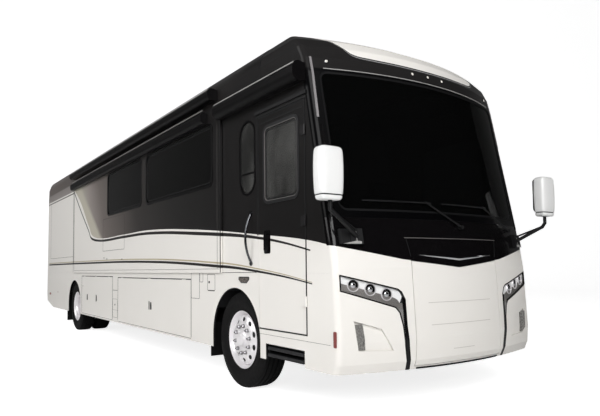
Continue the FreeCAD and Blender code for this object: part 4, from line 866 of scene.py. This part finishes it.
def make_front():
    both = lambda points: [across(side, points) for side in (-1, 1)]
    single("front_chevron", chrome, chevron, slot="polished_alloy")
    single("front_band_creases", black_plastic, front_lines,
           both(((0.605, 1.478), (0.575, 1.325))), 0.003, 0.003)
    single("front_band_line", line_grey, front_lines,
           [[(-0.62, 1.484), (0.62, 1.484)]], 0.003, 0.003)
    single("screen_seal", rubber, ribbon, rounded(-1.176, 1.721, 1.176, 2.949, 0.066), FRONT,
           (-0.012, 0.006), 0.004, closed=True, pitch=0.06, slot="rubber")
    single("screen_top_trim", trim_grey, front_lines,
           [[(-1.14, 2.992), (1.14, 2.992)]], 0.004, 0.003, slot="white_moulding")
    single("pillar_trims", black_gloss, front_lines,
           both(((1.236, 1.62), (1.232, 2.1), (1.227, 2.46))), 0.011, 0.006, 0.06)
    # Grey strips on the upper pillar corners: trim, its light grey partly painted highlight of the corner.
    single("pillar_trims_upper", pillar_grey_painted_highlight, front_lines,
           both(((1.249, 2.53), (1.247, 2.6), (1.238, 3.0), (1.236, 3.1))), 0.009, 0.005, 0.06)
    single("marker_lamp_rims", dark_chrome, marker_domes,
           ((0.0, 0.019), (0.008, 0.019), (0.0095, 0.0165), (0.0095, 0.0145)))
    single("marker_lamps", marker_lens, marker_domes,
           ((0.004, 0.015), (0.011, 0.0135), (0.0145, 0.009), (0.0155, 0.0)), slot="lamp_clear", angle=60.0)
    bm, ribs = bmesh.new(), bmesh.new()
    for side in (-1, 1):
        plate(bm, across(side, CORNER_LAMP)[::side], FRONT, 0.012, sink=0.03, bevel=0.003)
        for k in range(9):
            z = 0.648 + 0.0135 * k
            y0, y1 = along_height(CORNER_LAMP[:3], z) - 0.007, along_height(CORNER_LAMP[5:], z) + 0.007
            ribbon(ribs, [(side * y0, z + 0.006), (side * y1, z)], FRONT, 0.0012, 0.0135, sink=-0.010, pitch=0.05)
        for z in (0.588, 0.606):
            vee = across(side, ((1.112, z + 0.028), (1.084, z), (1.066, z + 0.032)))
            ribbon(ribs, vee, FRONT, 0.0022, 0.0135, sink=-0.010, pitch=0.05)
    piece("corner_lamp_ribs", ribs, seam_dark)
    piece("corner_lamps", bm, lamp_grey)
    feet, lips = bmesh.new(), bmesh.new()
    for side in (-1, 1):
        foot = rounded(side * FOOT - 0.092, 1.427, side * FOOT + 0.092, 1.553, 0.012)
        plate(feet, foot, FRONT, 0.03, bevel=0.006)
        # The light grey lip and the line up its side are a real lip in a grey that is painted highlight along the
        # foot's edges.
        lip = across(side, ((1.21, 1.428), (1.06, 1.428), (1.06, 1.448), (1.105, 1.452)))
        plate(lips, lip[::side], FRONT, 0.043)
        ribbon(lips, across(side, ((1.098, 1.452), (1.098, 1.548))), FRONT, 0.0025, 0.042, sink=-0.028)
    piece("mirror_feet", feet, black_plastic)
    piece("mirror_foot_lips_painted_highlight", lips, trim_grey)
    # Grey lines along the hood's creases: painted shade.
    single("hood_creases", painted_crease_shade, front_lines,
           [[(-reach, z), (reach, z)] for z, reach in ((0.925, 0.42), (0.735, 0.40), (0.515, 0.14))],
           0.0025, 0.0015, body="front_hood", slot="body_paint")
    single("chin_lip", rubber, front_lines,
           [[(-0.55, 0.378), (-0.3, 0.376), (0.3, 0.376), (0.55, 0.378)]], 0.008, 0.004, slot="rubber")


make_headlamps()
make_front()


# ---------------- sides
def seams(bm, mapping, *lines, closed=False):
    """Shallow lines on a side, each given as (width, points)."""
    for width, *line in lines:
        ribbon(bm, line, mapping, width / 2, 0.0012, closed=closed, pitch=0.3)


def beads(bm, mapping, *lines):
    """Proud lines on a side, each given as (half of its width, thickness, points)."""
    for width, thick, *line in lines:
        ribbon(bm, line, mapping, width, thick, pitch=0.5)


def frame_bead(bm, outline, mapping, width, thick, sink=0.012, pitch=0.3):
    """A bead that closes on itself round a window."""
    ribbon(bm, outline, mapping, width, thick, closed=True, sink=sink, pitch=pitch)


def latches(bm, mapping, stations):
    """Flush pull latches in round-ended cups."""
    for a in stations:
        plate(bm, rounded(a - 0.022, 0.667, a + 0.022, 0.777, 0.02), mapping, 0.006, bevel=0.003)


def dot(bm, a, b, side, face, radius=0.014):
    """Small round button on a side."""
    profile = [(0.0, radius), (0.003, radius), (0.005, radius - 0.002), (0.005, 0.0)]
    dome(bm, (st(a), side * face, b), (0, side, 0), profile, 24)


BAY_DOORS = ((-6.40, -4.36, 1.118), (-4.052, -1.165, 1.105))      # rear, front, top
SLOT_HATCHES = ((-1.15, -0.915, 0.887, 1.19), (-0.905, -0.82, 1.084, 1.19), (-0.70, -0.51, 0.994, 1.175))
SLIDE_WINDOWS = ((-4.58, -2.87, 2.19, 2.88), (-2.65, -0.52, 2.185, 2.88))
SLIDE_LOW, SLIDE_TOP = 1.195, 3.04          # ends of the seals beside a slide-out
DOOR = (0.45, 1.24, 0.655, 2.715)


def make_side_marker(name, wall):
    """The long marker lamp above the front wheel, with its corners cut."""
    bezel, bm = bmesh.new(), bmesh.new()
    for mesh, inset, out, bevel in ((bezel, 0.0, 0.006, 0.003), (bm, 0.009, 0.0105, 0.004)):
        a0, a1, b0, b1 = 0.04 + inset, 0.255 - inset, 1.086 + inset, 1.152 - inset
        plate(mesh, [(a0 + 0.008, b1), (a0, b1 - 0.008), (a0, b0 + 0.036 - inset), (a0 + 0.05 - inset, b0),
                     (a1 - 0.05 + inset, b0), (a1, b0 + 0.036 - inset), (a1, b1 - 0.008), (a1 - 0.008, b1)],
              wall, out, bevel=bevel)
    piece(f"side_marker_bezel_{name}", bezel, dark_sash)
    piece(f"side_marker_{name}", bm, marker_grey)


def make_wall(name, side):
    """Seams, seals, locks, lamps and latches of one side."""
    wall = side_face(side)
    bm = bmesh.new()
    seams(bm, wall, (0.005, (-7.02, SLIDE_LOW), (0.40, SLIDE_LOW)),
          (0.006, (-9.44, 2.87), (-9.44, 1.53), (-7.08, 1.53), (-7.08, 2.87)))
    seams(bm, wall, *((0.005, *rounded(a0, b0, a1, b1, 0.012, 3)) for a0, a1, b0, b1 in SLOT_HATCHES),
          (0.004, *rounded(-4.335, 0.45, -4.077, 0.755, 0.02, 4)), closed=True)
    seams(bm, wall, (0.003, (-4.33, 0.571), (-4.08, 0.571)), (0.008, (-4.33, 0.90), (-4.08, 0.90)),
          (0.010, (-0.69, 0.99), (-0.52, 0.99)), (0.0025, (0.45, 0.605), (1.56, 0.605)))
    piece(f"body_seams_{name}", bm, seam_dark)
    bm = bmesh.new()
    for a, b, top in BAY_DOORS:
        beads(bm, wall, (0.0035, 0.0015, (a - 0.010, top + 0.0095), (b + 0.014, top + 0.0095)),
              (0.0045, 0.0015, (b + 0.0105, 0.41), (b + 0.0105, top + 0.012)),
              (0.002, 0.0015, (a - 0.008, 0.41), (a - 0.008, top + 0.012)))
    piece(f"bay_seals_{name}", bm, rubber)
    bm = bmesh.new()
    for a, b in ((-0.655, 1.085), (-4.21, 0.66)):
        dot(bm, a, b, side, half)
    piece(f"body_locks_{name}", bm, black_plastic)
    make_side_marker(name, wall)
    bm = bmesh.new()
    for corners in ((1.60, 0.59, 1.635, 0.72), (-9.50, 0.66, -9.37, 0.71)):
        plate(bm, rounded(*corners, 0.01), wall, 0.006, bevel=0.003)
    dot(bm, -8.59, 0.743, side, half)
    piece(f"side_reflectors_{name}", bm, dull_red)
    single(f"bay_mark_{name}", seam_dark, seams, wall, (0.005, (-6.37, 0.928), (-6.27, 0.928)),
           body=f"bay_door_{name}_rear", slot="rubber")
    for key, stations in (("rear", (-5.98, -5.345)), ("front", (-2.53,))):
        single(f"bay_latches_{name}_{key}", black_plastic, latches, wall, stations,
               body=f"bay_door_{name}_{key}")


def make_slide(name, side):
    """Seams, edges, a painted shadow line and window frames of one slide-out."""
    slide, body = side_face(side, slide_face), f"slide_out_{name}"
    bm = bmesh.new()
    seams(bm, slide, (0.006, *rounded(-4.85, 1.57, -3.66, 2.13, 0.02, 4)), closed=True)
    seams(bm, slide, (0.004, (-6.98, 1.235), (-0.36, 1.235)),
          *((0.006, (a, 1.24), (a, 2.88)) for a in (-6.96, -0.40)))
    piece(f"slide_seams_{name}", bm, seam_dark, body)
    bm = bmesh.new()
    beads(bm, slide, (0.008, 0.002, (-0.326, SLIDE_LOW), (-0.326, SLIDE_TOP)),
          (0.004, 0.002, (-7.036, SLIDE_LOW), (-7.036, SLIDE_TOP)))
    for a, b in ((-4.78, 1.45), (-4.60, 1.43), (-3.77, 1.41)):
        dot(bm, a, b, side, slide_face, 0.011)
    # A dark line just ahead of the rear edge: painted shadow of the slide's flange.
    beads(bm, slide, (0.007, 0.002, (-7.008, 1.385), (-7.008, 2.93)))
    piece(f"slide_edges_and_painted_shadow_{name}", bm, black_plastic, body=body)
    frames, sashes = bmesh.new(), bmesh.new()
    for a0, a1, b0, b1 in SLIDE_WINDOWS:
        frame_bead(frames, rounded(a0 - 0.004, b0 - 0.004, a1 + 0.004, b1 + 0.004, 0.082), slide,
                   (-0.018, 0.012), 0.005, pitch=0.4)
        frame_bead(sashes, rounded(a0 + 0.035, b0 + 0.035, a1 - 0.035, b1 - 0.035, 0.05), slide,
                   0.004, -0.004, 0.0075, 0.4)
    piece(f"slide_window_frames_{name}", frames, black_gloss, body=body)
    piece(f"slide_window_sashes_{name}", sashes, dark_sash, body=body)


def make_painted_highlight_rails(name, side):
    """Rails along the awnings, their light grey a painted highlight along the top edge of each case: one above each
    slide-out and two more on the right, where all stay with the coach.
    """
    bm = bmesh.new()
    if side < 0:
        for a, b, out, z, radius in ((-6.97, -0.45, 0.110, 3.242, 0.015), (-0.28, 1.25, 0.116, 3.016, 0.012)):
            tube(bm, [(st(end), -half - out, z) for end in (a, b)], radius, 14)
    z = 3.062 if side < 0 else 3.036        # the right room runs out below it
    tube(bm, [(st(end), side * (slide_face + 0.052), z) for end in (-6.97, -0.66)], 0.005)
    piece(f"awning_rails_painted_highlight_{name}", bm, trim_grey, "coach" if side < 0 else f"slide_out_{name}")


def make_doors():
    wall, left = side_face(-1), side_face(1)
    a0, a1, b0, b1 = DOOR
    bm = bmesh.new()
    edge = [(a0 + 0.002, b0 + 0.004), (a1 - 0.004, b0 + 0.004), (a1 - 0.004, b1 - 0.004),
            (a0 + 0.004, b1 - 0.004), (a0 + 0.004, 1.56)]
    ribbon(bm, edge, wall, (-0.005, 0.004), 0.003, pitch=0.5)
    ribbon(bm, [(a0 + 0.03, 2.655), (a1 - 0.03, 2.655)], wall, 0.004, 0.003)
    piece("entry_door_edge", bm, black_plastic, body="entry_door")
    bm, line = bmesh.new(), bmesh.new()
    window = rounded(0.545, 1.858, 1.145, 2.615, 0.08)
    frame_bead(bm, window, wall, (-0.006, 0.022), 0.006)
    frame_bead(bm, rounded(0.59, 1.903, 1.10, 2.57, 0.05), wall, 0.004, -0.003, 0.0078)
    frame_bead(line, window, wall, (0.023, 0.028), 0.0045, 0.004)
    piece("entry_door_window_frame", bm, dark_sash, body="entry_door")
    piece("entry_door_window_line", line, line_grey, body="entry_door")
    bm = bmesh.new()
    plate(bm, rounded(0.548, 1.375, 0.662, 1.60, 0.022), wall, 0.004, bevel=0.002, sink=0.0)
    plate(bm, rounded(0.568, 1.399, 0.642, 1.566, 0.019), wall, 0.0235, bevel=0.005, sink=0.0)
    piece("entry_door_lock", bm, black_gloss, body="entry_door")
    single("door_drip_rail", black_plastic, beads, wall,
           (0.016, 0.014, (0.40, 2.775), (1.27, 2.775)),
           (0.006, 0.003, (0.428, 1.56), (0.428, 2.735), (1.262, 2.735)))
    bm = bmesh.new()
    frame_bead(bm, rounded(0.08, 1.985, 0.39, 2.74, 0.154, 12), wall, (-0.008, 0.014), 0.006)
    ribbon(bm, [(0.095, 2.20), (0.375, 2.20)], wall, 0.009, -0.003, sink=0.0078)
    frame_bead(bm, rounded(0.26, 1.90, 1.17, 2.70, 0.09), left, (-0.008, 0.018), 0.006)
    ribbon(bm, [(0.72, 1.93), (0.72, 2.67)], left, 0.014, -0.002, sink=0.0078, pitch=0.5)
    piece("cab_window_frames", bm, black_gloss)


for name, side in SIDES:
    make_wall(name, side)
    make_slide(name, side)
    make_painted_highlight_rails(name, side)
make_doors()


# ---------------- mirrors
def power(value, exponent):
    """A power that keeps the sign."""
    return math.copysign(abs(value) ** exponent, value)


def shell(bm, centre, size, levels, square=0.42, segments=56):
    """A closed form of rounded rings. Levels are (height from the middle, share of the plan size)."""
    rings = []
    for z, share in levels:
        ring = []
        for angle in turns(segments):
            ring.append(bm.verts.new((centre[0] + size[0] / 2 * share * power(math.cos(angle), square),
                                      centre[1] + size[1] / 2 * share * power(math.sin(angle), square),
                                      centre[2] + z)))
        rings.append(ring)
    weave(bm, rings, rings=True)
    bm.faces.new(reversed(rings[0]))
    bm.faces.new(rings[-1])


def make_mirrors():
    (x0, _, z0), (x1, y1, z1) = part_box("mirror_heads")
    size, high = (x1 - x0, 0.235), z1 - z0
    x, top = (x0 + x1) / 2, high / 2
    swell = lambda t: (-top + 0.048 + (high - 0.048) * t, 0.93 + 0.07 * math.sin(math.pi * t) ** 0.7)
    body = [(-top + 0.044, 0.90), (-top + 0.048, 0.93)] + [swell(t) for t in (0.12, 0.25, 0.4, 0.55, 0.7, 0.82)]
    body += [(top - 0.034, 0.95), (top - 0.016, 0.90), (top - 0.005, 0.82), (top, 0.70)]
    lip = [(-top, 0.72), (-top + 0.006, 0.82), (-top + 0.016, 0.87), (-top + 0.032, 0.895), (-top + 0.034, 0.88)]
    rear = lambda a, b, out: (x - size[0] / 2 * 0.93 - out, a, b)
    shells, necks, panes = bmesh.new(), bmesh.new(), bmesh.new()
    for side in (-1, 1):
        y = side * (y1 - size[1] / 2)
        centre = (x, y, (z0 + z1) / 2)
        shell(shells, centre, size, body)
        shell(shells, centre, size, lip)
        shell(necks, centre, size, [(-top + 0.03, 0.84), (-top + 0.05, 0.84)])
        reach = size[1] / 2 - 0.02
        outline = rounded(y - reach, z0 + 0.06, y + reach, z1 - 0.025, 0.028)
        ribbon(necks, outline, rear, (-0.006, 0.012), 0.004, closed=True, pitch=0.3)
        plate(panes, outline, rear, 0.0015, sink=0.003)
    shown = piece("mirror_shells", shells, white_shell, angle=50.0)
    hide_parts("mirror_heads")
    piece("mirror_necks", necks, black_plastic)
    piece("mirror_panes", panes, mirror_glass)


# ---------------- cab
def pillow(bm, centre, size, axes=(0, 1, 2), channels=0, plump=0.5, square=0.3, rings=28, segments=72):
    """A stuffed cushion, thick along its third axis, drawn in between its corners and sewn into channels."""
    a, b, h = (s / 2 for s in size)
    grid = []
    for i in range(rings + 1):
        v = -math.pi / 2 + math.pi * i / rings
        row = []
        for u in turns(segments):
            reach, waist = power(math.cos(v), plump), 1 - 0.035 * (1 - abs(math.sin(2 * u)))
            p = [a * reach * power(math.cos(u), square) * waist, b * reach * power(math.sin(u), square) * waist,
                 h * power(math.sin(v), plump)]
            for k in range(channels):
                line = -b + 2 * b * (k + 1) / (channels + 1)
                p[2] *= 1 - 0.14 * math.exp(-((p[1] - line) / 0.012) ** 2)
            offset = Vector((0.0, 0.0, 0.0))
            for axis, value in zip(axes, p):
                offset[axis] = value
            row.append(bm.verts.new(Vector(centre) + offset))
        grid.append(row)
    weave(bm, grid, rings=True)


def make_cab():
    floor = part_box("cab_seats")[0][2]
    base = bmesh.new()
    for name, y, x in (("driver", 0.62, st(0.42)), ("guest", -0.33, st(0.33))):
        levels = [(0.0, 1.0), (0.02, 1.0), (0.03, 0.7), (0.20, 0.62), (0.225, 1.0), (0.25, 1.0)]
        shell(base, (x, y, floor), (0.30, 0.30), levels, 0.3)
        for part, centre, size, axes, channels in (
            ("seat", (x - 0.005, y, floor + 0.325), (0.50, 0.49, 0.145), (0, 1, 2), 3),
            ("back", (x - 0.26, y, floor + 0.64), (0.56, 0.46, 0.135), (2, 1, 0), 3),
            ("headrest", (x - 0.262, y, floor + 0.975), (0.165, 0.30, 0.12), (2, 1, 0), 0),
        ):
            pad = single(f"{name}_{part}", leather, pillow, centre, size, axes, channels,
                         slot="seat_cover", angle=60.0)
        for side in (-1, 1):
            tube(base, [(x - 0.26, y + side * 0.215, floor + 0.56), (x - 0.10, y + side * 0.225, floor + 0.555),
                        (x + 0.10, y + side * 0.225, floor + 0.55)], 0.022, 12)
    shown = piece("seat_bases", base, black_plastic, angle=40.0)
    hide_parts("cab_seats")
    bm = bmesh.new()
    (x0, _, _), (x1, _, top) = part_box("dashboard")
    back = lambda a, b, out: (x0 + 0.004 - out, a, b)
    for a0, a1 in ((0.42, 0.84), (-0.12, 0.22), (-0.62, -0.30)):
        plate(bm, rounded(a0, 1.445, a1, 1.548, 0.014), back, 0.002, bevel=0.001, sink=0.003)
    piece("dash_panels", bm, black_gloss)
    bm = bmesh.new()
    for a in (-0.95, -0.2, 0.32, 1.0):
        shell(bm, (x0 + 0.19, a, top - 0.012), (0.05, 0.22), [(0.0, 1.0), (0.008, 0.96), (0.010, 0.86)])
    piece("dash_vents", bm, dark_sash)


make_mirrors()
make_cab()


# ---------------- rear
def make_rear():
    lamps, housings = bmesh.new(), bmesh.new()
    for side in (-1, 1):
        y0, y1 = sorted((side * 1.012, side * 1.148))
        ribbon(housings, rounded(y0, 0.962, y1, 1.418, 0.028), REAR, 0.006, 0.004, closed=True, pitch=0.2)
        for z in (1.05, 1.19, 1.33):
            place = REAR((y0 + y1) / 2, z, 0.0), (-1, 0, 0)
            dome(lamps, *place, [(-0.004, 0.054), (0.006, 0.053), (0.010, 0.046), (0.012, 0.03), (0.013, 0.0)], 36)
            dome(housings, *place, [(0.0, 0.058), (0.008, 0.058), (0.009, 0.0535), (0.004, 0.053)], 36)
    piece("tail_lamp_lenses", lamps, red_lens, angle=60.0)
    piece("tail_lamp_bezels", housings, chrome)
    bm = bmesh.new()
    for width, thick, line in (
        (0.004, 0.002, ((-1.1, 2.98), (1.1, 2.98))),
        (0.003, 0.0015, ((-1.12, 1.60), (1.12, 1.60))),
        (0.003, 0.0015, ((-0.80, 0.60), (-0.80, 1.56))),
        (0.003, 0.0015, ((0.80, 0.60), (0.80, 1.56))),
    ):
        ribbon(bm, line, REAR, width, thick, pitch=0.1)
    piece("rear_seams", bm, seam_dark)
    bm = bmesh.new()
    for y in (-1.10, -0.2, 0.0, 0.2, 1.10):
        plate(bm, rounded(y - 0.045, 3.12, y + 0.045, 3.15, 0.012), REAR, 0.012, bevel=0.004)
    for y in (-1.08, 1.08):
        plate(bm, rounded(y - 0.05, 0.60, y + 0.05, 0.66, 0.012), REAR, 0.008, bevel=0.003)
    piece("rear_markers", bm, red_lens)
    bm = bmesh.new()
    ribbon(bm, [(-0.70, 1.50), (0.70, 1.50)], REAR, 0.006, 0.006, pitch=0.1)
    plate(bm, rounded(-0.09, 1.42, 0.09, 1.46, 0.015), REAR, 0.014, bevel=0.004)
    piece("engine_door_pull", bm, black_plastic, body="engine_door")


make_rear()


# ---------------- studio
def make_studio():
    plane = bpy.data.meshes.new("studio_floor")
    size, wall, bend = 60.0, -17.5, 6.0          # half the width, where the floor turns up, and how gently
    rows = [(size, 0.0), (wall, 0.0)]
    for i in range(1, 13):
        angle = math.pi / 2 * i / 12
        rows.append((wall - bend * math.sin(angle), bend - bend * math.cos(angle)))
    rows.append((wall - bend, 30.0))
    verts = [(away, y, z) for away, z in rows for y in (-size, size)]
    plane.from_pydata(verts, [], [(2 * i, 2 * i + 1, 2 * i + 3, 2 * i + 2) for i in range(len(rows) - 1)])
    floor = bpy.data.objects.new("studio_floor", plane)
    floor.rotation_euler = (0, 0, math.radians(-34))
    bpy.context.scene.collection.objects.link(floor)
    s = Shader("studio_floor", Base_Color=(0.9, 0.9, 0.9, 1), Roughness=0.9, Specular_IOR_Level=0.1)
    glow = s.times(s.add("LightPath").outputs["Is Camera Ray"], 0.82)      # whitens it for the camera alone
    both = s.add("AddShader")
    put(both.inputs[0], s.tree.nodes["Principled BSDF"].outputs[0])
    put(both.inputs[1], s.add("Emission", Strength=glow).outputs[0])
    put(s.tree.nodes["Material Output"].inputs["Surface"], both.outputs[0])
    plane.materials.append(s.material)
    plane.shade_smooth()

    world = bpy.data.worlds.new("studio")
    bpy.context.scene.world = world
    world.use_nodes = True
    tree = world.node_tree
    path = add_node(tree, "LightPath").outputs
    up = add_node(tree, "SeparateXYZ", Vector=add_node(tree, "TexCoord").outputs["Generated"]).outputs[2]
    # Glossy surfaces see dark walls and a bright ceiling.
    sky = add_node(tree, "MapRange", ("interpolation_type", "SMOOTHSTEP"), Value=up,
                   From_Min=0.3, From_Max=1.0, To_Min=0.03, To_Max=0.6).outputs["Result"]
    mirror = add_node(tree, "Math", ("operation", "MAXIMUM"))
    put(mirror.inputs[0], path["Is Glossy Ray"])
    put(mirror.inputs[1], path["Is Transmission Ray"])
    room = add_node(tree, "Mix", Factor=mirror.outputs[0], A=1.15, B=sky).outputs["Result"]
    seen = add_node(tree, "Mix", Factor=path["Is Camera Ray"], A=room, B=1.0).outputs["Result"]
    put(tree.nodes["Background"].inputs["Strength"], seen)

    for name, place, aim, size, power in (
        ("key", (15.0, -7.0, 8.0), (2.0, 0.0, 1.2), 9.0, 1900.0),
        ("side", (-3.0, -15.0, 9.0), (-3.0, 0.0, 1.5), 12.0, 1500.0),
    ):
        data = bpy.data.lights.new(name, "AREA")
        data.energy, data.size = power, size
        lamp = bpy.data.objects.new(name, data)
        lamp.location = place
        lamp.rotation_euler = (Vector(aim) - Vector(place)).to_track_quat("-Z", "Y").to_euler()
        bpy.context.scene.collection.objects.link(lamp)


def make_camera():
    """The viewpoint: low, off the right front corner, level with the bumper."""
    yaw, pitch, roll = math.radians(33.99), math.radians(3.16), math.radians(-0.62)
    forward = Vector((-math.cos(yaw) * math.cos(pitch), math.sin(yaw) * math.cos(pitch), math.sin(pitch)))
    right = forward.cross(Vector((0, 0, 1))).normalized()
    up = right.cross(forward)
    right, up = math.cos(roll) * right + math.sin(roll) * up, -math.sin(roll) * right + math.cos(roll) * up
    data = bpy.data.cameras.new("camera")
    data.sensor_width = 36.0
    data.lens = 33.39
    data.shift_x, data.shift_y = 0.021, 0.0495
    data.clip_end = 200.0
    camera = bpy.data.objects.new("camera", data)
    basis = Matrix((right, up, -forward)).transposed()
    camera.matrix_world = Matrix.Translation((st(5.134), -4.11, 1.232)) @ basis.to_4x4()
    bpy.context.scene.collection.objects.link(camera)
    bpy.context.scene.camera = camera


make_studio()
make_camera()
bpy.context.scene.view_settings.view_transform = "Standard"
